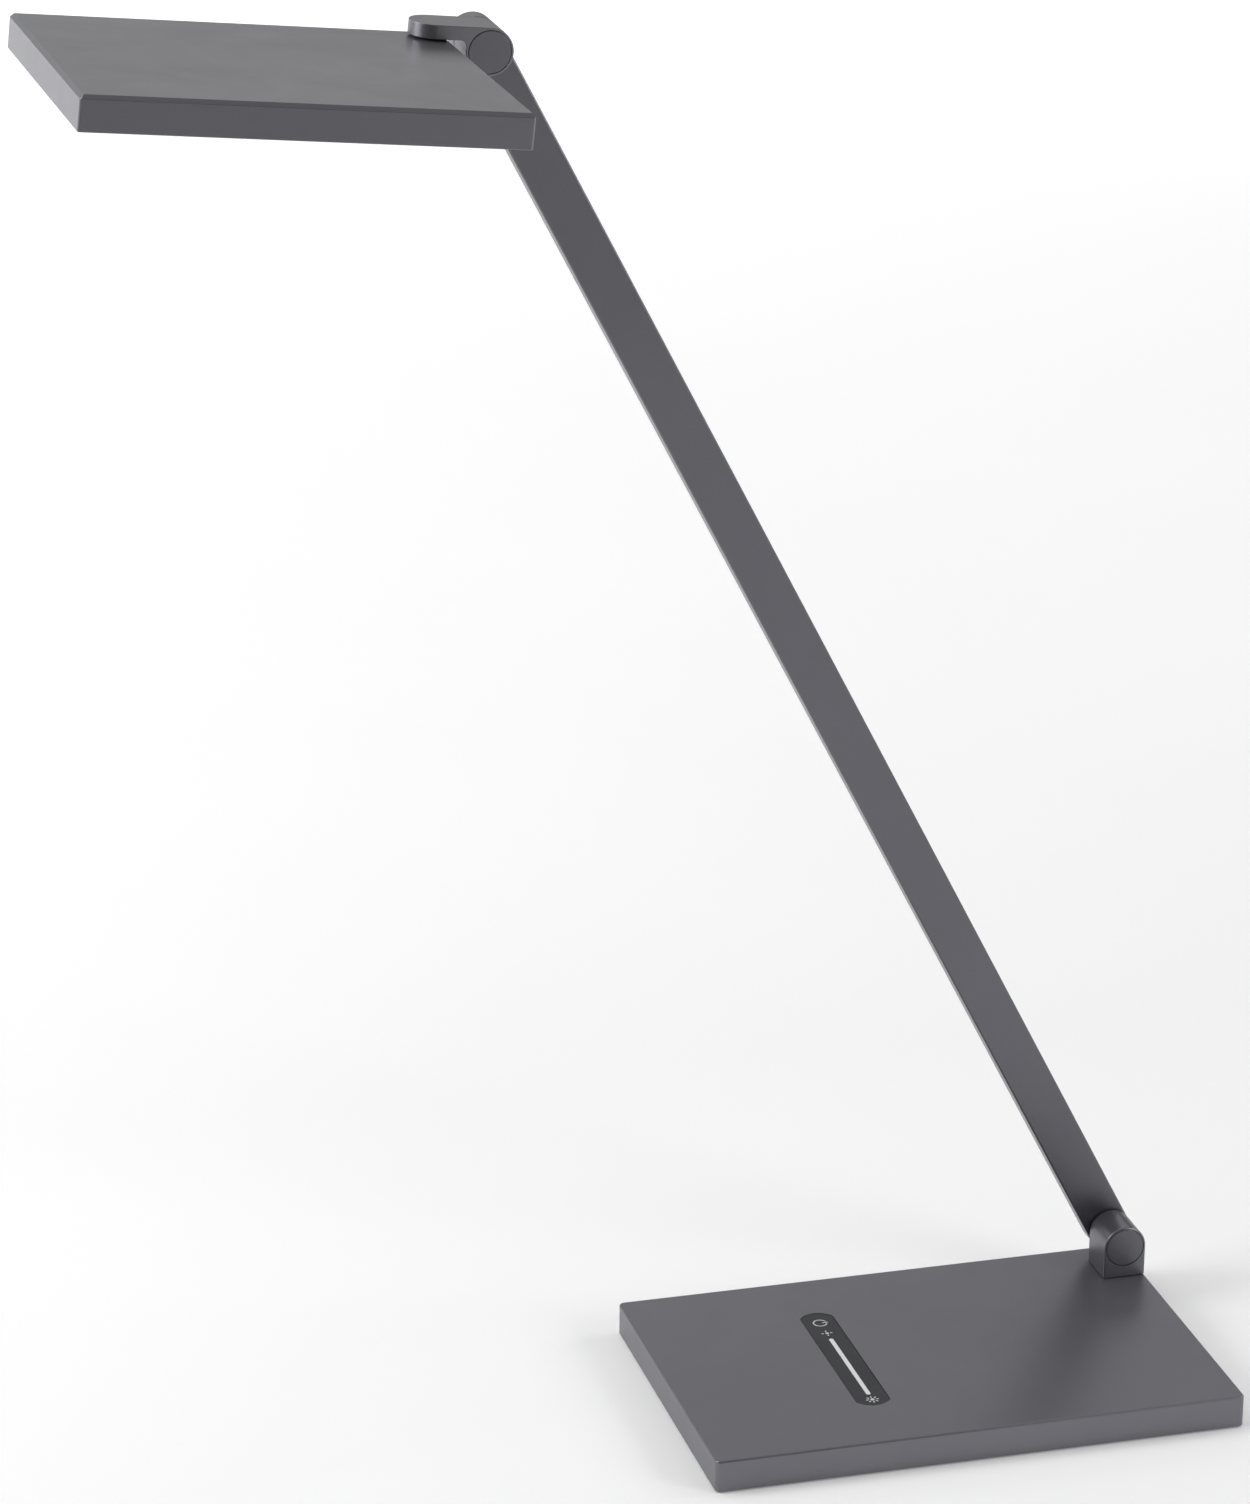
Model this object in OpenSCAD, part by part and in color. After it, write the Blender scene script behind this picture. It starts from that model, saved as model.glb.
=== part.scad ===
// Desk lamp with one flat arm: a weighted base, a knuckle hinge, an arm, and a thin LED head.
// Millimetres. +Z up, +X towards the hinge end of the base, +Y to the back.
// The origin is the centre of the base's underside.

/* [Base] */
// Length of the base, left to right
base_l = 200; // [165:1:250]
// Depth of the base, front to back
base_d = 130; // [108:1:170]
// Height of the base from the table to its top face
base_h = 12.6; // [12:0.1:18]
// Radius of the base's upright corners
base_corner_r = 2; // [0.5:0.1:5]
// Edge break along the top and bottom edges of the base
base_edge = 0.5; // [0.2:0.1:1]
// Side wall of the base casing
base_wall = 2.2; // [1.6:0.1:3]
// Top wall of the base casing
base_roof = 2; // [1.8:0.1:2.6]
// Thickness of the bottom cover
cover_t = 1.4; // [1:0.1:1.8]
// Thickness of the anti-slip mat
mat_t = 1.2; // [1:0.1:1.5]
// Thickness of the steel ballast plate
ballast_t = 5.4; // [3:0.1:5.6]
// Depth of the bay behind the ballast that holds the electronics
bay_d = 31; // [28:1:40]

/* [Touch strip] */
// Width of the touch strip
strip_w = 12.6; // [10:0.1:18]
// Length of the touch strip
strip_l = 75.6; // [60:0.1:95]
// Distance of the touch strip's middle line to the left of the base's middle
strip_x = 31.8; // [20:0.1:45]
// Width of the lit slider bar
slider_w = 1.7; // [1.2:0.1:3]
// Length of the lit slider bar
slider_l = 46; // [30:0.5:52]

/* [Hinges] */
// Radius of both hinge knuckles
knuckle_r = 8.3; // [7.4:0.1:11]
// Length of both hinge knuckles along their axes
knuckle_d = 16.6; // [15:0.1:22]
// Height of the lower hinge axis above the base's top face
axis_rise = 12.1; // [11.4:0.1:20]
// Gap between a knuckle and the arm
knuckle_gap = 0.8; // [0.6:0.05:1.5]
// Radius of the round caps on the knuckles' front faces
cap_r = 7.4; // [6.4:0.1:7.5]
// Radius of the hinge pins
pin_r = 3; // [2.5:0.1:3.6]

/* [Arm] */
// Distance between the two hinge axes
arm_l = 535; // [400:1:700]
// Half of the arm's width, and the radius of its round ends
arm_r = 8.3; // [7.4:0.1:11]
// Thickness of the arm, front to back
arm_t = 9; // [8:0.1:12]
// Wall of the arm's channel
arm_wall = 1.5; // [1.2:0.1:1.6]
// Distance of the arm's back face in front of the base's back face
arm_inset = 0.8; // [0:0.1:5]

/* [Head] */
// Length of the head
head_l = 147.5; // [120:0.5:190]
// Depth of the head, front to back
head_d = 119; // [95:0.5:150]
// Thickness of the head
head_h = 11.9; // [11.4:0.1:15]
// Radius of the head's upright corners
head_corner_r = 2; // [0.5:0.1:4]
// Bevel around the head's top face
head_bevel = 1.3; // [0.6:0.1:1.5]
// Wall of the head casing
head_wall = 1.8; // [1.5:0.1:2.2]
// Width of the frame around the light window at the head's two ends
rim_end = 14.5; // [14:0.5:22]
// Width of the frame around the light window along the head's two sides
rim_side = 10; // [10:0.5:18]
// Number of LEDs along each side of the light guide
led_count = 24; // [8:1:30]
// Distance from the hinge axis to the swivel axis
swivel_reach = 18.5; // [18:0.1:26]
// Distance from the swivel axis to the head's near end
swivel_end = 5.5; // [4.8:0.1:6]
// Distance from the swivel axis to the head's back face
swivel_back = 8; // [6.8:0.1:8.2]
// Thickness of the bracket's tongue
tongue_t = 4.9; // [4.4:0.1:5.6]
// Gap between the tongue and the head
tongue_gap = 0.8; // [0.6:0.1:1.2]

/* [Rest pose] */
// Lean of the arm to the left of upright, in degrees
arm_lean = 27.6; // [0:0.1:60]
// Tilt of the head, far end up, in degrees
head_tilt = 5.9; // [-20:0.1:20]
// Swivel of the head, far end forward, in degrees
head_swivel = 1.2; // [-5:0.1:5]

/* [Fits] */
// Radial running clearance of a pin in its bore
run_clear = 0.05; // [0.02:0.01:0.1]
// Gap around pieces that drop into a seat
seat_gap = 0.15; // [0.1:0.05:0.3]
// Gap between pieces that move past each other
slip_gap = 0.2; // [0.15:0.05:0.4]

/* [Hidden] */
$fn = 64;
eps = 0.01;

// Colours
paint = [0.36, 0.36, 0.39];
paint_cap = [0.31, 0.31, 0.34];
dark = [0.08, 0.08, 0.09];
steel = [0.66, 0.67, 0.69];
brass = [0.75, 0.6, 0.33];
board_green = [0.1, 0.33, 0.2];

// Base: levels and lines
rim_z = 0.5;
cover_z = mat_t;
cover_top = cover_z + cover_t;
roof_z = base_h - base_roof;
ballast_z = cover_top + 0.3;
ballast_top = ballast_z + ballast_t;
base_x = base_l / 2;
base_y = base_d / 2;
in_x = base_x - base_wall;
in_y = base_y - base_wall;
in_r = max(base_corner_r - base_wall, 0.6);
boss_r = 3.1;
boss_at = boss_r + 2.6;
boss_x = in_x - boss_at;
boss_y = in_y - boss_at;
boss_points = [for (sx = [-1, 1], sy = [-1, 1]) [sx * boss_x, sy * boss_y]];
ballast_x = boss_x - boss_r - 1;
ballast_y0 = -in_y + 1;
ballast_y1 = in_y - bay_d;
ballast_points = [for (sx = [-1, 1], y = [ballast_y0 + 10, ballast_y1 - 10])
    [sx * (ballast_x - 8), y]];

// Case screws: thread, pilot, through-hole and head radii, head height
screw_r = 1.35;
pilot_r = 1.4;
through_r = 1.6;
screw_head_r = 2.7;
screw_head_h = 0.9;
head_clear_r = 3.1;
drive_w = 0.5;

// Board and head screws
fine_screw_r = 0.85;
fine_pilot_r = 0.9;
fine_through_r = 1.1;
fine_head_r = 1.8;
fine_head_h = 0.8;

// Touch strip: end arcs, seat depth and ledge
strip_arc_r = strip_w * 0.57;
lens_t = 1.1;
lens_drop = 0.1;
lens_z = base_h - lens_drop - lens_t;
ledge = 1.4;
mark_t = 0.3;
mark_line = 0.5;
ring_r = 2.7;
ring_gap = 1.8;
ring_bar_x = 0.8;
ring_bar_l = 2.3;
slider_y = -6.2;
ring_y = slider_y + slider_l / 2 + 13;
dim_y = slider_y + slider_l / 2 + 4.4;
bright_y = slider_y - slider_l / 2 - 4;

// Electronics; the socket takes a 5.5 mm barrel plug
board_t = 1.2;
control_l = 60;
control_w = 22;
control_x = control_l / 2 - strip_x + strip_w / 2 + 3;
control_y = in_y - control_w / 2 - 2;
control_z = roof_z - 4.6;
post_r = 2;
control_points = [for (sx = [-1, 1]) [control_x + sx * (control_l / 2 - 4), control_y]];
jack_w = 9;
jack_x = boss_r + jack_w / 2 + 14.5 - boss_x;
jack_d = 13;
jack_nose_r = 3.3;
socket_r = 2.75;
socket_l = 9.5;
jack_set_back = 0.2;
jack_z = (cover_top + roof_z) / 2;
jack_h = roof_z - cover_top - 0.6;

// Arm and knuckles, front to back
arm_y1 = base_y - arm_inset;
arm_y0 = arm_y1 - arm_t;
knuckle_y1 = arm_y0 - knuckle_gap;
knuckle_y0 = knuckle_y1 - knuckle_d;
knuckle_mid = (knuckle_y0 + knuckle_y1) / 2;
knuckle_rim = 0.6;
cap_t = 1.2;
cap_seat_r = cap_r + seat_gap;
stack_r = pin_r + 3.2;
stack_floor = knuckle_y0 + 9.2;
washer_t = 0.8;
washer_r = stack_r - 0.5;
spring_t = 0.7;
spring_rise = 0.5;
nut_r = pin_r + 2.5;
nut_t = 2.6;
pin_wire_r = 1.2;
wire_r = 1.5;
wire_y = stack_floor - wire_r - 0.2;
thrust_t = knuckle_gap - slip_gap;
thrust_r = knuckle_r - 1;
block_x = base_x - knuckle_r - 0.1;
gasket_t = 0.3;
block_foot = base_h + gasket_t;
block_z = base_h + axis_rise;
block_screw_r = 1.5;
block_screw_off = 5.2;
block_screw_top = block_z - stack_r - 0.8;

// Arm
arm_edge = 0.5;
arm_in_r = arm_r - arm_wall;
arm_floor = arm_y0 + arm_wall;
back_t = 1.4;
back_y = arm_y1 - back_t;
insert_r = arm_in_r - 0.1;
insert_l = 42;
flange_r = pin_r + 2;
flange_t = 1.6;
back_screw_z = [16, 34];
back_screw_l = 3.6;
back_drive_r = 0.8;
back_drive_t = 0.5;
wire_way = 3;
cable_w = 5;
cable_t = 1.4;

// Head bracket and swivel, measured from the upper hinge axis
tongue_top = knuckle_r;
tongue_z = tongue_top - tongue_t;
tongue_r = knuckle_d / 2;
fillet_r = 2.5;
fillet_z = tongue_z - fillet_r;
fillet_x = -sqrt(pow(knuckle_r + fillet_r, 2) - pow(fillet_z, 2));
fillet_foot = fillet_z * knuckle_r / (knuckle_r + fillet_r);
swivel_r = 2.4;
swivel_hole_t = 3.6;
swivel_washer_r = swivel_end - 0.3;
swivel_boss_r = 4.6;
swivel_boss_t = 1.8;
swivel_pocket_r = swivel_end - 1.1;
swivel_nut_r = swivel_pocket_r - slip_gap;
swivel_nut_t = 2.4;
swivel_spring_t = 0.6;

// Head, measured from the swivel axis
head_top = tongue_z - tongue_gap;
head_z = head_top - head_h;
head_x1 = swivel_end;
head_x0 = head_x1 - head_l;
head_y1 = swivel_back;
head_y0 = head_y1 - head_d;
head_edge = 0.4;
head_roof = head_top - head_wall;
head_in_r = 0.8;
bezel_lip = 0.8;
diffuser_t = 1.1;
bezel_top = head_z + bezel_lip + diffuser_t + 0.1;
window_x0 = head_x0 + rim_end;
window_x1 = head_x1 - rim_end;
window_y0 = head_y0 + rim_side;
window_y1 = head_y1 - rim_side;
lip_w = 1.5;
guide_t = 2.4;
guide_z = bezel_top + 0.1;
sheet_t = 0.3;
guide_reach = 1;
led_t = 0.8;
led_w = 2.4;
led_board_t = 0.8;
led_y = window_y1 + guide_reach + 0.2;
led_board_y = led_y + led_t;
swivel_stack_z = head_roof - swivel_boss_t;
swivel_spring_z = swivel_stack_z - slip_gap - swivel_spring_t;
swivel_nut_z = swivel_spring_z - swivel_nut_t;
head_screw_in = 4.7;
head_screw_sink = 0.9;
head_screw_bite = 4;
head_screw_points = [[head_x0 + head_screw_in, head_y0 + head_screw_in],
    [head_x0 + head_screw_in, head_y1 - head_screw_in],
    [head_x1 - head_screw_in, head_y0 + head_screw_in],
    [head_x1 - head_screw_in - rim_end, head_y1 - head_screw_in]];
head_boss_r = 2.3;

// ---- Frames ----

// Lower hinge axis, with +Z along the arm
module arm_frame() {
    translate([block_x, 0, block_z]) rotate([0, -arm_lean, 0]) children();
}

// Upper hinge axis, with +X along the head
module tilt_frame() {
    translate([block_x - arm_l * sin(arm_lean), 0, block_z + arm_l * cos(arm_lean)])
        rotate([0, head_tilt, 0]) children();
}

// Swivel axis, with +X along the head
module swivel_frame() {
    tilt_frame() translate([-swivel_reach, knuckle_mid, 0])
        rotate([0, 0, head_swivel]) children();
}

// ---- Shapes that repeat ----

// Extrudes an outline drawn in X and Z from y0 to y1
module y_prism(y0, y1) {
    translate([0, y1, 0]) rotate([90, 0, 0]) linear_extrude(y1 - y0) children();
}

// Extrudes an outline drawn in Y and Z from x0 to x1
module x_prism(x0, x1) {
    translate([x0, 0, 0]) rotate([90, 0, 90]) linear_extrude(x1 - x0) children();
}

// Round rod along Y
module y_rod(r, y0, y1) {
    translate([0, y1, 0]) rotate([90, 0, 0]) cylinder(r = r, h = y1 - y0);
}

// Rectangle with round corners
module round_rect(x0, x1, y0, y1, r) {
    translate([x0 + r, y0]) square([x1 - x0 - 2 * r, y1 - y0]);
    translate([x0, y0 + r]) square([x1 - x0, y1 - y0 - 2 * r]);
    for (x = [x0 + r, x1 - r], y = [y0 + r, y1 - r]) translate([x, y]) circle(r);
}

// Plate with round upright corners
module plate(x0, x1, y0, y1, z0, z1, r) {
    translate([0, 0, z0]) linear_extrude(z1 - z0) round_rect(x0, x1, y0, y1, r);
}

// Outline of a slab seen from one side, with bevelled corners
module bevel_outline(a0, a1, z0, z1, top, bottom) {
    polygon([[a0 + bottom, z0], [a1 - bottom, z0], [a1, z0 + bottom], [a1, z1 - top],
        [a1 - top, z1], [a0 + top, z1], [a0, z1 - top], [a0, z0 + bottom]]);
}

// Slab with round upright corners and bevelled top and bottom edges
module slab(x0, x1, y0, y1, z0, z1, r, top, bottom) {
    intersection() {
        plate(x0, x1, y0, y1, z0, z1, r);
        y_prism(y0, y1) bevel_outline(x0, x1, z0, z1, top, bottom);
        x_prism(x0, x1) bevel_outline(y0, y1, z0, z1, top, bottom);
    }
}

// Bar with round ends, from the origin up to length, with its front and back edges broken
module bar(length, r, y0, y1, edge) {
    profile = [[0, y0], [r - edge, y0], [r, y0 + edge], [r, y1 - edge], [r - edge, y1],
        [0, y1]];
    for (side = [0, 1]) mirror([side, 0, 0]) linear_extrude(length) polygon(profile);
    for (z = [0, length]) translate([0, 0, z]) rotate([-90, 0, 0])
        rotate_extrude() polygon(profile);
}

// Flat bar with round ends and square edges
module plain_bar(z0, z1, r, y0, y1) {
    y_prism(y0, y1) {
        translate([-r, z0]) square([2 * r, z1 - z0]);
        for (z = [z0, z1]) translate([0, z]) circle(r);
    }
}

// Ring along Y
module y_ring(r, hole, y0, y1) {
    difference() {
        y_rod(r, y0, y1);
        y_rod(hole, y0 - 1, y1 + 1);
    }
}

// Upright screw with its head at the bottom, head's lower face at z0
module screw_up(p, z0, z1, r = screw_r, head_r = screw_head_r, head_h = screw_head_h) {
    translate([p.x, p.y, z0]) difference() {
        union() {
            cylinder(r = head_r, h = head_h);
            cylinder(r = r, h = z1 - z0);
        }
        for (a = [0, 90]) rotate(a) translate([-head_r * 0.6, -drive_w / 2, -1])
            cube([head_r * 1.2, drive_w, 1 + head_h * 0.6]);
    }
}

// Upright hole
module hole_up(p, r, z0, z1) {
    translate([p.x, p.y, z0]) cylinder(r = r, h = z1 - z0);
}

// Knuckle barrel with rounded rims
module barrel() {
    translate([0, knuckle_y0, 0]) rotate([-90, 0, 0]) rotate_extrude() {
        translate([0, knuckle_rim]) square([knuckle_r, knuckle_d - 2 * knuckle_rim]);
        square([knuckle_r - knuckle_rim, knuckle_d]);
        for (y = [knuckle_rim, knuckle_d - knuckle_rim])
            translate([knuckle_r - knuckle_rim, y]) circle(knuckle_rim);
    }
}

// Everything bored out of a knuckle: cap seat, washer stack and pin
module knuckle_bores() {
    y_rod(cap_seat_r, knuckle_y0 - 1, knuckle_y0 + cap_t + 0.1);
    y_rod(stack_r, knuckle_y0 - 1, stack_floor);
    y_rod(pin_r + run_clear, knuckle_y0, knuckle_y1 + 1);
}

// Round cap that closes a knuckle, with a broken front edge
module knuckle_cap() {
    edge = 0.3;
    translate([0, knuckle_y0, 0]) rotate([-90, 0, 0]) rotate_extrude()
        polygon([[0, 0], [cap_r - edge, 0], [cap_r, edge], [cap_r, cap_t], [0, cap_t]]);
}

// Hollow hinge pin with a flange at the back, held in an arm insert
module hinge_pin() {
    front = knuckle_y0 + cap_t + 0.6;
    difference() {
        union() {
            y_rod(pin_r, front, back_y - 0.1);
            y_rod(flange_r, back_y - 0.1 - flange_t, back_y - 0.1);
        }
        y_rod(pin_wire_r, front - 1, back_y + 1);
    }
}

module friction_washer() {
    y_ring(washer_r, pin_r + slip_gap, stack_floor - washer_t, stack_floor);
}

module thrust_washer() {
    y_ring(thrust_r, pin_r + slip_gap, knuckle_y1, knuckle_y1 + thrust_t);
}

// Two cone springs, back to back
module spring_washers() {
    front = stack_floor - washer_t - 0.1 - 2 * (spring_t + spring_rise);
    hole = pin_r + 0.1;
    translate([0, front, 0]) rotate([-90, 0, 0]) {
        rotate_extrude() polygon([[hole, 0], [washer_r, spring_rise],
            [washer_r, spring_rise + spring_t], [hole, spring_t]]);
        translate([0, 0, spring_t + spring_rise]) rotate_extrude()
            polygon([[hole, spring_rise], [washer_r, 0], [washer_r, spring_t],
                [hole, spring_rise + spring_t]]);
    }
}

module hinge_nut() {
    back = stack_floor - washer_t - 0.1 - 2 * (spring_t + spring_rise);
    difference() {
        translate([0, back, 0]) rotate([90, 0, 0]) cylinder(r = nut_r, h = nut_t, $fn = 6);
        y_rod(pin_r + 0.02, back - nut_t - 1, back + 1);
    }
}

// ---- Base ----

// Outline of the touch strip, grown all round by gap
module strip_outline(gap = 0) {
    half_w = strip_w / 2 + gap;
    half_l = strip_l / 2 + gap;
    arc = strip_arc_r + gap;
    translate([-strip_x, 0]) intersection() {
        translate([-half_w, -half_l]) square([2 * half_w, 2 * half_l]);
        union() {
            translate([-arc, -half_l + arc]) square([2 * arc, 2 * (half_l - arc)]);
            for (s = [-1, 1]) translate([0, s * (half_l - arc)]) circle(arc);
        }
    }
}

// Printed marks: a power ring, a dim sun and a bright sun
module mark_outline() {
    translate([-strip_x, ring_y]) {
        difference() {
            circle(ring_r);
            circle(ring_r - mark_line);
            translate([0, -ring_gap / 2]) square([ring_r + 1, ring_gap]);
        }
        translate([ring_bar_x, -mark_line / 2]) square([ring_bar_l, mark_line]);
    }
    translate([-strip_x, dim_y]) sun_outline(0.65, 1.2, 2.1, 4);
    translate([-strip_x, bright_y]) sun_outline(0.75, 1.3, 2.4, 8);
}

// Dot with rays around it, the rays from ray_start to ray_end
module sun_outline(dot_r, ray_start, ray_end, rays) {
    circle(dot_r);
    for (i = [0 : rays - 1]) rotate(i * 360 / rays)
        translate([ray_start, -mark_line / 2]) square([ray_end - ray_start, mark_line]);
}

module slider_outline(gap = 0) {
    w = slider_w + 2 * gap;
    translate([-strip_x, slider_y]) {
        translate([-w / 2, -slider_l / 2 + slider_w / 2])
            square([w, slider_l - slider_w]);
        for (s = [-1, 1]) translate([0, s * (slider_l - slider_w) / 2]) circle(w / 2);
    }
}

module block_screw_points(z0, z1, r) {
    for (s = [-1, 1]) hole_up([block_x, knuckle_mid + s * block_screw_off], r, z0, z1);
}

// Upright way for the wires, from the base into the lower knuckle
module wire_hole(z0, z1) {
    hole_up([block_x, wire_y], wire_r, z0, z1);
}

module base_housing() {
    color(paint) difference() {
        union() {
            difference() {
                slab(-base_x, base_x, -base_y, base_y, rim_z, base_h,
                    base_corner_r, base_edge, 0.3);
                plate(-in_x, in_x, -in_y, in_y, rim_z - 1, roof_z, in_r);
            }
            for (p = boss_points) hole_up(p, boss_r, cover_top, roof_z + eps);
            for (p = ballast_points) hole_up(p, boss_r, ballast_top, roof_z + eps);
            for (p = control_points) hole_up(p, post_r, control_z + board_t, roof_z + eps);
        }
        for (p = boss_points) hole_up(p, pilot_r, cover_top - 1, roof_z - 0.5);
        for (p = ballast_points) hole_up(p, pilot_r, ballast_top - 1, roof_z + 0.8);
        for (p = control_points) hole_up(p, fine_pilot_r, control_z, roof_z - 0.5);
        translate([0, 0, lens_z]) linear_extrude(lens_t + 1) strip_outline(seat_gap);
        translate([0, 0, roof_z - 1]) linear_extrude(base_roof) strip_outline(-ledge);
        block_screw_points(roof_z - 1, base_h + 1, block_screw_r + 0.15);
        wire_hole(roof_z - 1, base_h + 1);
        translate([jack_x, 0, jack_z]) y_rod(jack_nose_r + seat_gap, in_y - 1, base_y + 1);
    }
}

module base_cover() {
    color(dark) difference() {
        plate(-in_x + seat_gap, in_x - seat_gap, -in_y + seat_gap, in_y - seat_gap,
            cover_z, cover_top, in_r);
        for (p = boss_points) hole_up(p, through_r, cover_z - 1, cover_top + 1);
    }
}

module anti_slip_mat() {
    inset = 1.2;
    color(dark) difference() {
        plate(-in_x + inset, in_x - inset, -in_y + inset, in_y - inset, 0, mat_t, 3);
        for (p = boss_points) hole_up(p, head_clear_r, -1, mat_t + 1);
    }
}

module cover_screws() {
    color(steel) for (p = boss_points)
        screw_up(p, cover_z - screw_head_h, roof_z - 1);
}

module ballast_plate() {
    color(steel) difference() {
        plate(-ballast_x, ballast_x, ballast_y0, ballast_y1, ballast_z, ballast_top, 2);
        for (p = ballast_points) {
            hole_up(p, through_r, ballast_z - 1, ballast_top + 1);
            hole_up(p, head_clear_r, ballast_z - 1, ballast_z + 1.2);
        }
    }
}

module ballast_screws() {
    color(steel) for (p = ballast_points)
        screw_up(p, ballast_z + 1.2 - screw_head_h, roof_z + 0.6);
}

module touch_lens() {
    color(dark) translate([0, 0, lens_z]) difference() {
        linear_extrude(lens_t) strip_outline();
        translate([0, 0, -1]) linear_extrude(lens_t + 2) slider_outline(0.05);
        translate([0, 0, lens_t - mark_t]) linear_extrude(1) mark_outline();
    }
}

module slider_light() {
    color([0.85, 0.87, 0.9]) translate([0, 0, lens_z]) linear_extrude(lens_t)
        slider_outline();
}

module touch_marks() {
    color([0.8, 0.82, 0.84]) translate([0, 0, lens_z + lens_t - mark_t])
        linear_extrude(mark_t) mark_outline();
}

module touch_board() {
    color(board_green) plate(-strip_x - strip_w / 2 - 1, -strip_x + strip_w / 2 + 1,
        -strip_l / 2 + 1, strip_l / 2 - 1, roof_z - board_t, roof_z, 1);
}

module control_board() {
    color(board_green) difference() {
        plate(control_x - control_l / 2, control_x + control_l / 2,
            control_y - control_w / 2, control_y + control_w / 2,
            control_z, control_z + board_t, 1);
        for (p = control_points)
            hole_up(p, fine_through_r, control_z - 1, control_z + board_t + 1);
    }
}

// Coil, two capacitors, driver chip and connector
module board_parts() {
    top = control_z + board_t;
    color([0.2, 0.2, 0.22]) {
        hole_up([control_x - 14, control_y - 3], 3.2, top, top + 2.6);
        for (i = [0, 1]) hole_up([control_x - 4, control_y - 5 + i * 8], 2, top, top + 2.8);
        translate([control_x + 4, control_y - 4, top]) cube([7, 6, 1.2]);
        translate([control_x + 15, control_y - 6, top]) cube([4, 12, 2.8]);
    }
}

module board_screws() {
    color(steel) for (p = control_points)
        screw_up(p, control_z - fine_head_h, roof_z - 1, fine_screw_r, fine_head_r,
            fine_head_h);
}

module dc_jack() {
    color(dark) translate([jack_x, 0, jack_z]) difference() {
        union() {
            y_rod(jack_nose_r, in_y - 1, base_y - jack_set_back);
            translate([-jack_w / 2, in_y - 0.1 - jack_d, -jack_h / 2])
                cube([jack_w, jack_d, jack_h]);
        }
        y_rod(socket_r, base_y - jack_set_back - socket_l, base_y + 1);
    }
}

module hinge_block() {
    foot = block_z - block_foot;
    color(paint) difference() {
        translate([block_x, 0, block_z]) {
            difference() {
                union() {
                    barrel();
                    intersection() {
                        translate([-knuckle_r, knuckle_y0, -foot])
                            cube([2 * knuckle_r, knuckle_d, foot]);
                        translate([0, 0, -foot]) linear_extrude(foot)
                            round_rect(-knuckle_r, knuckle_r, knuckle_y0, knuckle_y1,
                                knuckle_rim);
                    }
                }
                knuckle_bores();
            }
        }
        block_screw_points(block_foot - 1, block_screw_top + 0.4, block_screw_r + 0.05);
        wire_hole(block_foot - 1, block_z);
    }
}

module block_gasket() {
    inset = 0.4;
    color(dark) difference() {
        plate(block_x - knuckle_r + inset, block_x + knuckle_r - inset,
            knuckle_y0 + inset, knuckle_y1 - inset, base_h, block_foot, knuckle_rim);
        block_screw_points(base_h - 1, block_foot + 1, block_screw_r + 0.15);
        wire_hole(base_h - 1, block_foot + 1);
    }
}

module block_screws() {
    color(steel) for (s = [-1, 1])
        screw_up([block_x, knuckle_mid + s * block_screw_off], roof_z - 1.6,
            block_screw_top, block_screw_r, 2.5, 1.6);
}

module block_cap() {
    color(paint_cap) translate([block_x, 0, block_z]) knuckle_cap();
}

module lower_thrust_washer() {
    color(dark) translate([block_x, 0, block_z]) thrust_washer();
}

module lower_friction_washer() {
    color(brass) translate([block_x, 0, block_z]) friction_washer();
}

// ---- Arm ----

module arm_channel() {
    color(paint) arm_frame() difference() {
        bar(arm_l, arm_r, arm_y0, arm_y1, arm_edge);
        plain_bar(0, arm_l, arm_in_r, arm_floor, arm_y1 + 1);
        for (z = [0, arm_l]) translate([0, 0, z])
            y_rod(pin_r + 0.3, arm_y0 - 1, arm_floor + 1);
    }
}

module back_screw_holes(r, y0, y1) {
    for (z = back_screw_z, end = [0, 1])
        translate([0, 0, end * arm_l + (1 - 2 * end) * z]) y_rod(r, y0, y1);
}

module arm_back_cover() {
    color(paint) arm_frame() difference() {
        plain_bar(0, arm_l, arm_in_r - seat_gap, back_y, arm_y1);
        back_screw_holes(through_r, back_y - 1, arm_y1 + 1);
        back_screw_holes(head_clear_r, arm_y1 - screw_head_h, arm_y1 + 1);
    }
}

module arm_cover_screws() {
    color(steel) arm_frame() difference() {
        union() {
            back_screw_holes(screw_r, back_y - back_screw_l, arm_y1 - screw_head_h / 2);
            back_screw_holes(screw_head_r, arm_y1 - screw_head_h, arm_y1);
        }
        back_screw_holes(back_drive_r, arm_y1 - back_drive_t, arm_y1 + 1);
    }
}

// Solid hub in one end of the arm, with its hinge pin's seat
module arm_insert() {
    difference() {
        y_prism(arm_floor, back_y) {
            circle(insert_r);
            translate([-insert_r, 0]) square([2 * insert_r, insert_l]);
        }
        y_rod(pin_r + 0.02, arm_floor - 1, back_y);
        y_rod(flange_r + 0.05, back_y - 0.1 - flange_t, back_y + 1);
        for (z = back_screw_z) translate([0, 0, z])
            y_rod(pilot_r, back_y - back_screw_l - 0.6, back_y + 1);
        translate([-wire_way / 2, back_y - 2.4, flange_r - 1])
            cube([wire_way, wire_way, back_screw_z[0] - flange_r - 1]);
    }
}

module lower_insert() {
    color(steel) arm_frame() arm_insert();
}

module upper_insert() {
    color(steel) arm_frame() translate([0, 0, arm_l]) rotate([0, 180, 0]) arm_insert();
}

module arm_cable() {
    color(dark) arm_frame() translate([-cable_w / 2, arm_floor + 1, insert_l + 1])
        cube([cable_w, cable_t, arm_l - 2 * insert_l - 2]);
}

module lower_hinge_pin() {
    color(steel) arm_frame() hinge_pin();
}

module lower_spring_washers() {
    color(brass) arm_frame() spring_washers();
}

module lower_hinge_nut() {
    color(steel) arm_frame() hinge_nut();
}

module upper_hinge_pin() {
    color(steel) arm_frame() translate([0, 0, arm_l]) hinge_pin();
}

module upper_spring_washers() {
    color(brass) arm_frame() translate([0, 0, arm_l]) spring_washers();
}

module upper_hinge_nut() {
    color(steel) arm_frame() translate([0, 0, arm_l]) hinge_nut();
}

// ---- Head bracket ----

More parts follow.
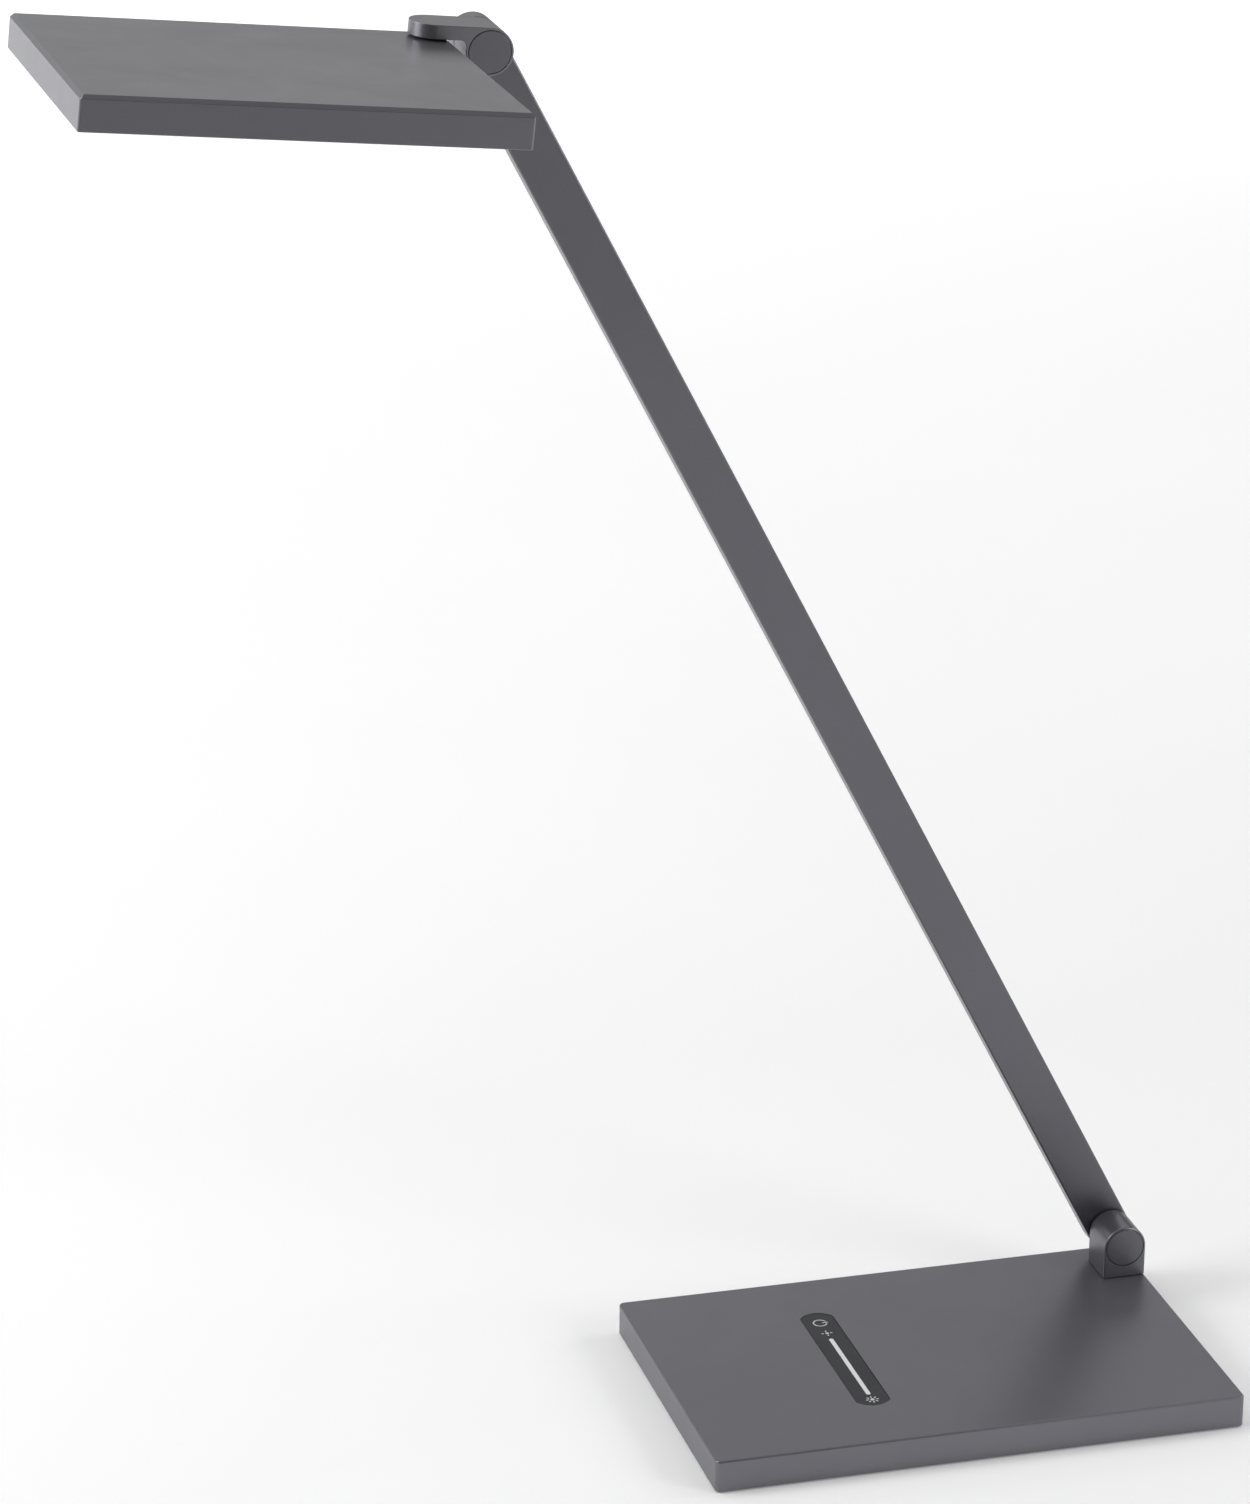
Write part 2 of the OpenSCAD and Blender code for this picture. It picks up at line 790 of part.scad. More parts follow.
module head_bracket() {
    color(paint) tilt_frame() difference() {
        union() {
            barrel();
            translate([0, 0, tongue_z]) linear_extrude(tongue_t) {
                translate([-swivel_reach, knuckle_y0]) square([swivel_reach, knuckle_d]);
                translate([-swivel_reach, knuckle_mid]) circle(tongue_r);
            }
            difference() {
                y_prism(knuckle_y0, knuckle_y1) translate([fillet_x, fillet_foot])
                    square([-fillet_x - knuckle_r / 2, tongue_z - fillet_foot + 0.2]);
                translate([fillet_x, 0, fillet_z])
                    y_rod(fillet_r, knuckle_y0 - 1, knuckle_y1 + 1);
            }
        }
        knuckle_bores();
        hole_up([-swivel_reach, knuckle_mid], swivel_r + 0.02, tongue_z - 1,
            tongue_z + swivel_hole_t);
    }
}

module bracket_cap() {
    color(paint_cap) tilt_frame() knuckle_cap();
}

module upper_thrust_washer() {
    color(dark) tilt_frame() thrust_washer();
}

module upper_friction_washer() {
    color(brass) tilt_frame() friction_washer();
}

// Upright ring on the swivel axis
module swivel_ring(r, hole, z0, z1, sides = 64) {
    tilt_frame() translate([-swivel_reach, knuckle_mid, z0]) difference() {
        cylinder(r = r, h = z1 - z0, $fn = sides);
        translate([0, 0, -1]) cylinder(r = hole, h = z1 - z0 + 2);
    }
}

module swivel_pin() {
    color(steel) tilt_frame() translate([-swivel_reach, knuckle_mid, swivel_nut_z - 0.3])
        cylinder(r = swivel_r, h = tongue_z + swivel_hole_t - swivel_nut_z + 0.3);
}

module swivel_washer() {
    color(dark) swivel_ring(swivel_washer_r, swivel_r + 0.1, tongue_z - tongue_gap + slip_gap,
        tongue_z);
}

module swivel_spring_washer() {
    color(brass) swivel_ring(swivel_nut_r, swivel_r + 0.1, swivel_spring_z,
        swivel_spring_z + swivel_spring_t);
}

module swivel_nut() {
    color(steel) swivel_ring(swivel_nut_r, swivel_r + 0.02, swivel_nut_z, swivel_spring_z, 6);
}

// ---- Head ----

module head_housing() {
    color(paint) swivel_frame() difference() {
        union() {
            difference() {
                slab(head_x0, head_x1, head_y0, head_y1, head_z, head_top,
                    head_corner_r, head_bevel, head_edge);
                plate(head_x0 + head_wall, head_x1 - head_wall, head_y0 + head_wall,
                    head_y1 - head_wall, head_z - 1, head_roof, head_in_r);
            }
            hole_up([0, 0], swivel_boss_r, swivel_stack_z, head_roof + eps);
            for (p = head_screw_points) hole_up(p, head_boss_r, bezel_top, head_roof + eps);
        }
        hole_up([0, 0], swivel_r + run_clear, swivel_stack_z - 1, head_top + 1);
        hole_up([0, 0], swivel_pocket_r, bezel_top, swivel_stack_z);
        for (p = head_screw_points) hole_up(p, fine_pilot_r, bezel_top - 1, head_roof - 0.5);
    }
}

module head_bezel() {
    w = head_wall + seat_gap;
    color(paint_cap) swivel_frame() difference() {
        plate(head_x0 + w, head_x1 - w, head_y0 + w, head_y1 - w, head_z, bezel_top,
            head_in_r);
        plate(window_x0, window_x1, window_y0, window_y1, head_z - 1, bezel_top + 1, 2);
        plate(window_x0 - lip_w, window_x1 + lip_w, window_y0 - lip_w, window_y1 + lip_w,
            head_z + bezel_lip, bezel_top + 1, 1);
        for (p = head_screw_points) {
            hole_up(p, fine_through_r, head_z - 1, bezel_top + 1);
            hole_up(p, fine_head_r + 0.3, head_z - 1, head_z + head_screw_sink);
        }
    }
}

// Sheet over the light window, reaching past it by reach on every side
module window_sheet(reach, z0, z1) {
    swivel_frame() plate(window_x0 - reach, window_x1 + reach, window_y0 - reach,
        window_y1 + reach, z0, z1, 0.8);
}

module diffuser() {
    color([0.93, 0.93, 0.9]) window_sheet(lip_w - seat_gap, head_z + bezel_lip,
        head_z + bezel_lip + diffuser_t);
}

module light_guide() {
    color([0.85, 0.9, 0.95]) window_sheet(guide_reach, guide_z, guide_z + guide_t);
}

module reflector_sheet() {
    color([0.95, 0.95, 0.95]) window_sheet(guide_reach, guide_z + guide_t,
        guide_z + guide_t + sheet_t);
}

module led_boards() {
    front_y = window_y0 + window_y1 - led_board_y - led_board_t;
    color(board_green) swivel_frame() for (y0 = [front_y, led_board_y])
        translate([window_x0, y0, guide_z])
            cube([window_x1 - window_x0, led_board_t, guide_t]);
}

module leds() {
    pitch = (window_x1 - window_x0) / led_count;
    front_y = window_y0 + window_y1 - led_y - led_t;
    inset = 0.3;
    color([0.95, 0.9, 0.6]) swivel_frame() for (i = [0 : led_count - 1], y0 = [front_y, led_y])
        translate([window_x0 + (i + 0.5) * pitch - led_w / 2, y0, guide_z + inset])
            cube([led_w, led_t, guide_t - 2 * inset]);
}

module head_screws() {
    color(steel) swivel_frame() for (p = head_screw_points)
        screw_up(p, head_z + head_screw_sink - fine_head_h, bezel_top + head_screw_bite,
            fine_screw_r, fine_head_r, fine_head_h);
}

base_housing();
base_cover();
anti_slip_mat();
cover_screws();
ballast_plate();
ballast_screws();
touch_lens();
slider_light();
touch_marks();
touch_board();
control_board();
board_parts();
board_screws();
dc_jack();
hinge_block();
block_gasket();
block_screws();
block_cap();
lower_thrust_washer();
lower_friction_washer();
arm_channel();
arm_back_cover();
arm_cover_screws();
lower_insert();
upper_insert();
arm_cable();
lower_hinge_pin();
lower_spring_washers();
lower_hinge_nut();
upper_hinge_pin();
upper_spring_washers();
upper_hinge_nut();
head_bracket();
bracket_cap();
upper_thrust_washer();
upper_friction_washer();
swivel_pin();
swivel_washer();
swivel_spring_washer();
swivel_nut();
head_housing();
head_bezel();
diffuser();
light_guide();
reflector_sheet();
led_boards();
leds();
head_screws();
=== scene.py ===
from math import acos, asin, cos, pi, radians, sin, sqrt

import bmesh
import bpy
from mathutils import Matrix, Vector


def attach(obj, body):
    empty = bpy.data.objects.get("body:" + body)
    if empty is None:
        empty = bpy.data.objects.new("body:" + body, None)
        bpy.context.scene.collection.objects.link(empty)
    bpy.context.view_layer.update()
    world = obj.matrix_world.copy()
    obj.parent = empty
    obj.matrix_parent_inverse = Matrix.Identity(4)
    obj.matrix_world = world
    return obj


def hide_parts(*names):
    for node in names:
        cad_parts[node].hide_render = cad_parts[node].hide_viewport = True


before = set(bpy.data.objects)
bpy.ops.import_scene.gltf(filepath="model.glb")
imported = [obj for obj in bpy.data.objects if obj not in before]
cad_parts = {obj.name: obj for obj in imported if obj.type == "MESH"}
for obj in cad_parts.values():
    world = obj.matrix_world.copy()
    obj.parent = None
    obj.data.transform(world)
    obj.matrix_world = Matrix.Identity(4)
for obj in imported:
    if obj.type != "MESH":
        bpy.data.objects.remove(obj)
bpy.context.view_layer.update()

MM = 0.001

# ---- Sizes of the lamp, the same as the CAD part's ----

BASE_L, BASE_D, BASE_H = 200.0, 130.0, 12.6
BASE_CORNER, BASE_WALL, BASE_ROOF, RIM_Z = 2.0, 2.2, 2.0, 0.5
MAT_T, COVER_T = 1.2, 1.4
COVER_TOP = MAT_T + COVER_T
ROOF_Z = BASE_H - BASE_ROOF
BALLAST_LIFT, BALLAST_T = 0.3, 5.4
BALLAST_TOP = COVER_TOP + BALLAST_LIFT + BALLAST_T
IN_X, IN_Y = BASE_L / 2 - BASE_WALL, BASE_D / 2 - BASE_WALL
BOSS_R, BOSS_AT, PILOT_R = 3.1, 5.7, 1.4
BALLAST_CLEAR, BALLAST_BACK, BALLAST_HOLE_X, BALLAST_HOLE_Y = 1.0, 31.0, 8.0, 10.0
CAVITY_CORNER = 0.6
SEAT_GAP, FIT = 0.15, 0.1

STRIP_X, STRIP_W, STRIP_L = 31.8, 12.6, 75.6
STRIP_ARC = STRIP_W * 0.57
STRIP_LEDGE = 1.4
LENS_T, LENS_DROP = 1.1, 0.1
LENS_Z = BASE_H - LENS_DROP - LENS_T
SLIDER_W, SLIDER_L, SLIDER_Y = 1.7, 46.0, -6.2
RING_AWAY, DIM_AWAY, BRIGHT_AWAY = 13.0, 4.4, 4.0
RING_Y = SLIDER_Y + SLIDER_L / 2 + RING_AWAY
DIM_Y = SLIDER_Y + SLIDER_L / 2 + DIM_AWAY
BRIGHT_Y = SLIDER_Y - SLIDER_L / 2 - BRIGHT_AWAY

KNUCKLE_R, KNUCKLE_D, KNUCKLE_GAP = 8.3, 16.6, 0.8
PIN_R, PIN_CLEAR = 3.0, 0.05
ARM_L, ARM_R, ARM_T, ARM_WALL, ARM_LEAN = 535.0, 8.3, 9.0, 1.5, 27.6
ARM_IN = 0.8
ARM_Y1 = BASE_D / 2 - ARM_IN
ARM_Y0 = ARM_Y1 - ARM_T
BACK_T = 1.4
KNUCKLE_Y1 = ARM_Y0 - KNUCKLE_GAP
KNUCKLE_Y0 = KNUCKLE_Y1 - KNUCKLE_D
KNUCKLE_MID = (KNUCKLE_Y0 + KNUCKLE_Y1) / 2
CAP_R, CAP_T, STACK_R, STACK_DEPTH = 7.4, 1.2, 6.2, 9.2
STACK_FLOOR = KNUCKLE_Y0 + STACK_DEPTH
BLOCK_RISE, GASKET_T = 12.1, 0.3
BLOCK_X, BLOCK_Z = BASE_L / 2 - KNUCKLE_R - FIT, BASE_H + BLOCK_RISE
BLOCK_FOOT = BLOCK_Z - BASE_H - GASKET_T
WIRE_Y, WIRE_R = STACK_FLOOR - 1.7, 1.5
BLOCK_SCREW_AT, BLOCK_HOLE_R, BLOCK_BORE_R, BLOCK_ROOF = 5.2, 1.65, 1.55, 0.4
BACK_SCREW_AT = (16.0, 34.0)

HEAD_L, HEAD_D, HEAD_H, HEAD_BEVEL, HEAD_WALL = 147.5, 119.0, 11.9, 1.3, 1.8
# Crisper corners than the CAD head's, drawn in by a hair so that they stay inside its box
HEAD_CORNER, HEAD_IN = 0.9, 0.04
HEAD_TILT, HEAD_SWIVEL = 5.9, 1.2
SWIVEL_REACH, SWIVEL_END, SWIVEL_BACK = 18.5, 5.5, 8.0
TONGUE_T, TONGUE_GAP, FILLET_R = 4.9, 0.8, 2.5
TONGUE_TOP = KNUCKLE_R
TONGUE_Z = TONGUE_TOP - TONGUE_T
HEAD_TOP = TONGUE_Z - TONGUE_GAP
HEAD_Z = HEAD_TOP - HEAD_H
HEAD_X1, HEAD_Y1 = SWIVEL_END, SWIVEL_BACK
HEAD_X0, HEAD_Y0 = HEAD_X1 - HEAD_L, HEAD_Y1 - HEAD_D
HUB_R, HUB_H, HUB_WALL, SWIVEL_BORE_R = 4.6, 1.8, 1.1, 2.45
BRACKET_BORE_R, BRACKET_BORE_H = 2.42, 3.6
HEAD_BOSS_R, HEAD_PILOT_R, HEAD_SCREW_IN, INNER_CORNER = 2.3, 0.9, 4.7, 0.8
RIM_END, RIM_SIDE, LIP_W = 14.5, 10.0, 1.5
BEZEL_LIP, DIFFUSER_T = 0.8, 1.1
BEZEL_TOP = HEAD_Z + BEZEL_LIP + DIFFUSER_T + FIT
WINDOW = (HEAD_X0 + RIM_END, HEAD_X1 - RIM_END, HEAD_Y0 + RIM_SIDE, HEAD_Y1 - RIM_SIDE)

SCREW_R, SCREW_HEAD_R, SCREW_HEAD_H, HEAD_CLEAR_R, THROUGH_R = 1.35, 2.7, 0.9, 3.1, 1.6
FINE_R, FINE_HEAD_R, FINE_HEAD_H = 0.85, 1.8, 0.8
FINE_THROUGH_R, FINE_CLEAR_R, FINE_SINK, FINE_DROP = 1.1, 2.1, 0.9, 0.1
LED_COUNT, LED_W, LED_T, GUIDE_T, LED_INSET, LED_AWAY = 24, 2.4, 0.8, 2.4, 0.3, 1.2
GUIDE_Z = BEZEL_TOP + FIT
LED_Y = WINDOW[3] + LED_AWAY
MARK_T, MARK_LINE, MARK_PROUD = 0.3, 0.5, 0.02

# ---- Sizes for making the meshes ----

# How far a cutter runs past its wall, how far a filler sinks into its wall, and the
# small radius that closes a turned profile on its axis
PAST, SINK, AXIS_R = 1.0, 0.3, 0.01

# ---- Where the moving frames stand ----


def turn(degrees, axis):
    return Matrix.Rotation(radians(degrees), 4, axis)


def shift(x=0.0, y=0.0, z=0.0):
    return Matrix.Translation((x, y, z))


LEAN = radians(ARM_LEAN)
BLOCK_FRAME = shift(BLOCK_X, 0, BLOCK_Z)
ARM_FRAME = BLOCK_FRAME @ turn(-ARM_LEAN, "Y")
TILT_FRAME = shift(BLOCK_X - ARM_L * sin(LEAN), 0, BLOCK_Z + ARM_L * cos(LEAN)) @ turn(
    HEAD_TILT, "Y"
)
SWIVEL_FRAME = TILT_FRAME @ shift(-SWIVEL_REACH, KNUCKLE_MID, 0) @ turn(HEAD_SWIVEL, "Z")
# Turns a shape drawn flat so that its plan lies in X and Z and its top faces the front
UPRIGHT = turn(90, "X")
STILL = Matrix.Identity(4)

# ---- Outlines ----


def arc(cx, cy, r, start, end, steps):
    """Points on an arc, in degrees, both ends included."""
    angles = [radians(start + (end - start) * i / steps) for i in range(steps + 1)]
    return [(cx + r * cos(a), cy + r * sin(a)) for a in angles]


def rect_outline(x0, x1, y0, y1, r, steps=8):
    """Returns a function that gives the rounded rectangle, drawn in by an inset."""

    def at(inset):
        corner = max(r - inset, 0.05)
        left, right = x0 + inset + corner, x1 - inset - corner
        low, high = y0 + inset + corner, y1 - inset - corner
        return (
            arc(right, low, corner, -90, 0, steps)
            + arc(right, high, corner, 0, 90, steps)
            + arc(left, high, corner, 90, 180, steps)
            + arc(left, low, corner, 180, 270, steps)
        )

    return at


def disc_outline(r, cx=0.0, cy=0.0, steps=64):
    """Returns a function that gives the circle, drawn in by an inset."""
    return lambda inset: arc(cx, cy, r - inset, 0, 360 * (1 - 1 / steps), steps - 1)


def bar_outline(length, r, steps=32):
    """Returns a function that gives a bar with round ends, from the origin up to length."""
    return lambda inset: arc(0, 0, r - inset, 180, 360, steps) + arc(
        0, length, r - inset, 0, 180, steps
    )


def head_plan(inset, corner, steps):
    """The head from above, drawn in all round."""
    return rect_outline(
        HEAD_X0 + inset, HEAD_X1 - inset, HEAD_Y0 + inset, HEAD_Y1 - inset, corner, steps
    )


def window_plan(wider, corner, steps):
    """The light window from above, let out all round."""
    x0, x1, y0, y1 = WINDOW
    return rect_outline(x0 - wider, x1 + wider, y0 - wider, y1 + wider, corner, steps)


def strip_outline(inset, steps=12):
    """The touch strip: straight sides and shallow arcs for ends."""
    half_w, half_l, bow = STRIP_W / 2 - inset, STRIP_L / 2 - inset, STRIP_ARC - inset
    reach = 180 / pi * acos(half_w / bow)
    ends = arc(0, half_l - bow, bow, reach, 180 - reach, steps)
    points = ends + [(-x, -y) for x, y in ends]
    return [(x - STRIP_X, y) for x, y in points]


def block_outline(inset, steps=40):
    """The lower hinge block from the front: a round top on straight sides."""
    r = KNUCKLE_R - inset
    top = arc(0, 0, r, 0, 180, steps)
    rows = 6
    foot = [-BLOCK_FOOT * (i + 1) / rows for i in range(rows)]
    return top + [(-r, z) for z in foot] + [(r, z) for z in reversed(foot)]


def bracket_outline(steps=12):
    """The head bracket from the front: a round knuckle, a hollow fillet and a flat tongue."""
    fillet_z = TONGUE_Z - FILLET_R
    fillet_x = -sqrt((KNUCKLE_R + FILLET_R) ** 2 - fillet_z**2)
    meet = 180 / pi * asin(fillet_z / (KNUCKLE_R + FILLET_R))
    knuckle = arc(0, 0, KNUCKLE_R, 180 - meet, 450, 60)
    fillet = arc(fillet_x, fillet_z, FILLET_R, 90, -meet, steps)
    far = -SWIVEL_REACH - KNUCKLE_D
    return [(far, TONGUE_TOP), (far, TONGUE_Z)] + fillet + knuckle[1:]


# ---- Levels: how far an outline is drawn in at each height ----


def bend(degrees, steps):
    """Angles from zero to degrees, in radians, both ends included."""
    return [radians(degrees * i / steps) for i in range(steps + 1)]


def round_bottom(z0, r, steps):
    return [(r * (1 - sin(a)), z0 + r * (1 - cos(a))) for a in bend(90, steps)]


def round_levels(z0, z1, bottom, top, steps=5):
    """Straight wall with rounded bottom and top edges."""
    edge = [(top * (1 - cos(a)), z1 - top * (1 - sin(a))) for a in bend(90, steps)]
    return round_bottom(z0, bottom, steps) + edge


def bevel_levels(z0, z1, bottom, top, soft=0.22, steps=3):
    """Straight wall with a rounded bottom edge and a flat bevel on top, its two edges softened."""
    slope = radians(45)
    ease = soft * (1 - cos(slope)) / sin(slope)
    rows = round_bottom(z0, bottom, 5)
    for a in bend(45, steps):
        rows.append((soft * (1 - cos(a)), z1 - top - soft * (sin(slope) - sin(a))))
    for a in bend(45, steps):
        inset = top + soft * (sin(a) - sin(slope)) + ease
        rows.append((inset, z1 - soft * (1 - cos(slope - a))))
    return rows


# ---- Meshes ----


def piece_of(name, bm, place=STILL):
    """Makes an object at the origin, with its place in its mesh, in metres."""
    bmesh.ops.transform(bm, matrix=Matrix.Scale(MM, 4) @ place, verts=bm.verts)
    for face in bm.faces:
        face.smooth = True
    mesh = bpy.data.meshes.new(name)
    bm.to_mesh(mesh)
    bm.free()
    piece = bpy.data.objects.new(name, mesh)
    bpy.context.scene.collection.objects.link(piece)
    return piece


def loft(rings, closed=False):
    """Joins rings of points into a skin, with flat ends unless it closes on itself."""
    bm = bmesh.new()
    rows = [[bm.verts.new(p) for p in ring] for ring in rings]
    pairs = list(zip(rows, rows[1:] + rows[:1])) if closed else list(zip(rows, rows[1:]))
    for low, high in pairs:
        for i in range(len(low)):
            j = (i + 1) % len(low)
            bm.faces.new((low[i], low[j], high[j], high[i]))
    if not closed:
        bm.faces.new(list(reversed(rows[0])))
        bm.faces.new(rows[-1])
    return bm


def slab(name, outline, levels, place=STILL):
    """Stacks an outline along Z, drawn in at each level."""
    rings = [[(x, y, z) for x, y in outline(inset)] for inset, z in levels]
    return piece_of(name, loft(rings), place)


def turned(name, profile, place=STILL, steps=64):
    """Turns a closed profile of (radius, height) about Z."""
    rings = []
    for i in range(steps):
        a = 2 * pi * i / steps
        rings.append([(r * cos(a), r * sin(a), z) for r, z in profile])
    bm = loft(rings, closed=True)
    bmesh.ops.recalc_face_normals(bm, faces=bm.faces)
    return piece_of(name, bm, place)


def prism(outline_points, z0, z1, place=STILL):
    """Plain cutter or filler from one outline."""
    return slab("cutter", lambda inset: outline_points, [(0, z0), (0, z1)], place)


def rod(r, z0, z1, x=0.0, y=0.0, place=STILL, steps=48):
    """Plain round cutter or filler along Z."""
    return prism(disc_outline(r, x, y, steps)(0), z0, z1, place)


def front_rod(r, y0, y1, place=STILL, x=0.0, z=0.0, steps=48):
    """Plain round cutter or filler along Y, from y0 at the front to y1."""
    return rod(r, -y1, -y0, x, z, place @ UPRIGHT, steps)


def combine(piece, others, operation="DIFFERENCE"):
    """Cuts the others out of a piece, or adds them to it, and removes them."""
    for other in others:
        step = piece.modifiers.new("combine", "BOOLEAN")
        step.operation = operation
        step.solver = "EXACT"
        step.object = other
    bake(piece)
    for other in others:
        mesh = other.data
        bpy.data.objects.remove(other)
        bpy.data.meshes.remove(mesh)


def bake(piece):
    """Turns a piece and its modifiers into a plain mesh."""
    bpy.context.view_layer.update()
    graph = bpy.context.evaluated_depsgraph_get()
    mesh = bpy.data.meshes.new_from_object(piece.evaluated_get(graph))
    piece.modifiers.clear()
    old = piece.data
    piece.data = mesh
    mesh.name = piece.name
    bpy.data.meshes.remove(old)
    return piece


def soften(piece, width=0.0, angle=35, steps=3):
    """Rounds the sharp edges that cuts leave, then weights the shading by face area."""
    if width:
        edge = piece.modifiers.new("edge", "BEVEL")
        edge.width = width * MM
        edge.segments = steps
        edge.limit_method = "ANGLE"
        edge.angle_limit = radians(angle)
        edge.use_clamp_overlap = True
    shade = piece.modifiers.new("shade", "WEIGHTED_NORMAL")
    shade.keep_sharp = True
    bake(piece)


def crisp(piece, angle=40):
    """Marks edges sharper than the angle, for small pieces that aren't rounded."""
    bm = bmesh.new()
    bm.from_mesh(piece.data)
    for edge in bm.edges:
        if len(edge.link_faces) == 2 and edge.calc_face_angle(0) > radians(angle):
            edge.smooth = False
    bm.to_mesh(piece.data)
    bm.free()
    return piece


def keep(piece, body, slot, finish, *nodes):
    """Gives a finished piece its finish and body, and lets it stand for its CAD nodes."""
    if finish is not None:
        piece.data.materials.clear()
        piece.data.materials.append(finish)
    if nodes:
        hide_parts(*nodes)
    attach(piece, body)


class Tree:
    """A geometry node tree under construction, with named inputs for its sizes."""

    def __init__(self, name, host="Places"):
        self.name = name
        self.group = bpy.data.node_groups.new(name, "GeometryNodeTree")
        sockets = self.group.interface
        sockets.new_socket(host, in_out="INPUT", socket_type="NodeSocketGeometry")
        sockets.new_socket("Mesh", in_out="OUTPUT", socket_type="NodeSocketGeometry")
        self.source = self.group.nodes.new("NodeGroupInput")
        self.host = self.source.outputs[host]
        self.amounts = {}

    def size(self, label, amount, kind="Float"):
        """Adds a named input and notes the amount it is set to."""
        made = self.group.interface.new_socket(
            label, in_out="INPUT", socket_type="NodeSocket" + kind
        )
        self.amounts[made.identifier] = amount
        return self.source.outputs[label]

    def put(self, socket, value):
        if isinstance(value, bpy.types.NodeSocket):
            self.group.links.new(value, socket)
        else:
            socket.default_value = value

    def node(self, kind, settings=None, **inputs):
        """Adds a node; inputs are sockets to link or values to set."""
        made = self.group.nodes.new(kind)
        for label, value in (settings or {}).items():
            setattr(made, label, value)
        for label, value in inputs.items():
            self.put(made.inputs[label.replace("_", " ")], value)
        return made

    def sum(self, operation, *values):
        """Math node on numbers or sockets."""
        made = self.node("ShaderNodeMath", {"operation": operation})
        for socket, value in zip(made.inputs, values):
            self.put(socket, value)
        return made.outputs[0]

    def vector(self, x=0.0, y=0.0, z=0.0):
        return self.node("ShaderNodeCombineXYZ", X=x, Y=y, Z=z).outputs[0]

    def join(self, *parts):
        made = self.node("GeometryNodeJoinGeometry")
        for part in parts:
            self.group.links.new(part, made.inputs[0])
        return made.outputs[0]

    def on_points(self, points, part, rotation=None):
        made = self.node("GeometryNodeInstanceOnPoints", Points=points, Instance=part)
        if rotation is not None:
            self.put(made.inputs["Rotation"], rotation)
        return made.outputs[0]

    def make(self, mesh, finish, host=None, second=None):
        """Ends the tree, runs it on its host, and returns the plain mesh piece."""
        mesh = self.node("GeometryNodeRealizeInstances", Geometry=mesh).outputs[0]
        mesh = self.node("GeometryNodeSetMaterial", Geometry=mesh, Material=finish).outputs[0]
        if second is not None:
            picked = self.node(
                "GeometryNodeInputNamedAttribute", {"data_type": "BOOLEAN"}, Name="picked"
            )
            mesh = self.node(
                "GeometryNodeSetMaterial",
                Geometry=mesh,
                Selection=picked.outputs["Attribute"],
                Material=second,
            ).outputs[0]
        ending = self.group.nodes.new("NodeGroupOutput")
        self.group.links.new(mesh, ending.inputs[0])
        if host is None:
            host = piece_of(self.name, bmesh.new())
        grower = host.modifiers.new("tree", "NODES")
        grower.node_group = self.group
        for identifier, amount in self.amounts.items():
            grower[identifier] = amount
        return bake(host)


def places(name, points):
    """Loose points, in millimetres, for a tree to set its pieces on."""
    bm = bmesh.new()
    for point in points:
        bm.verts.new(point)
    return piece_of(name, bm)


# ---- Finishes ----


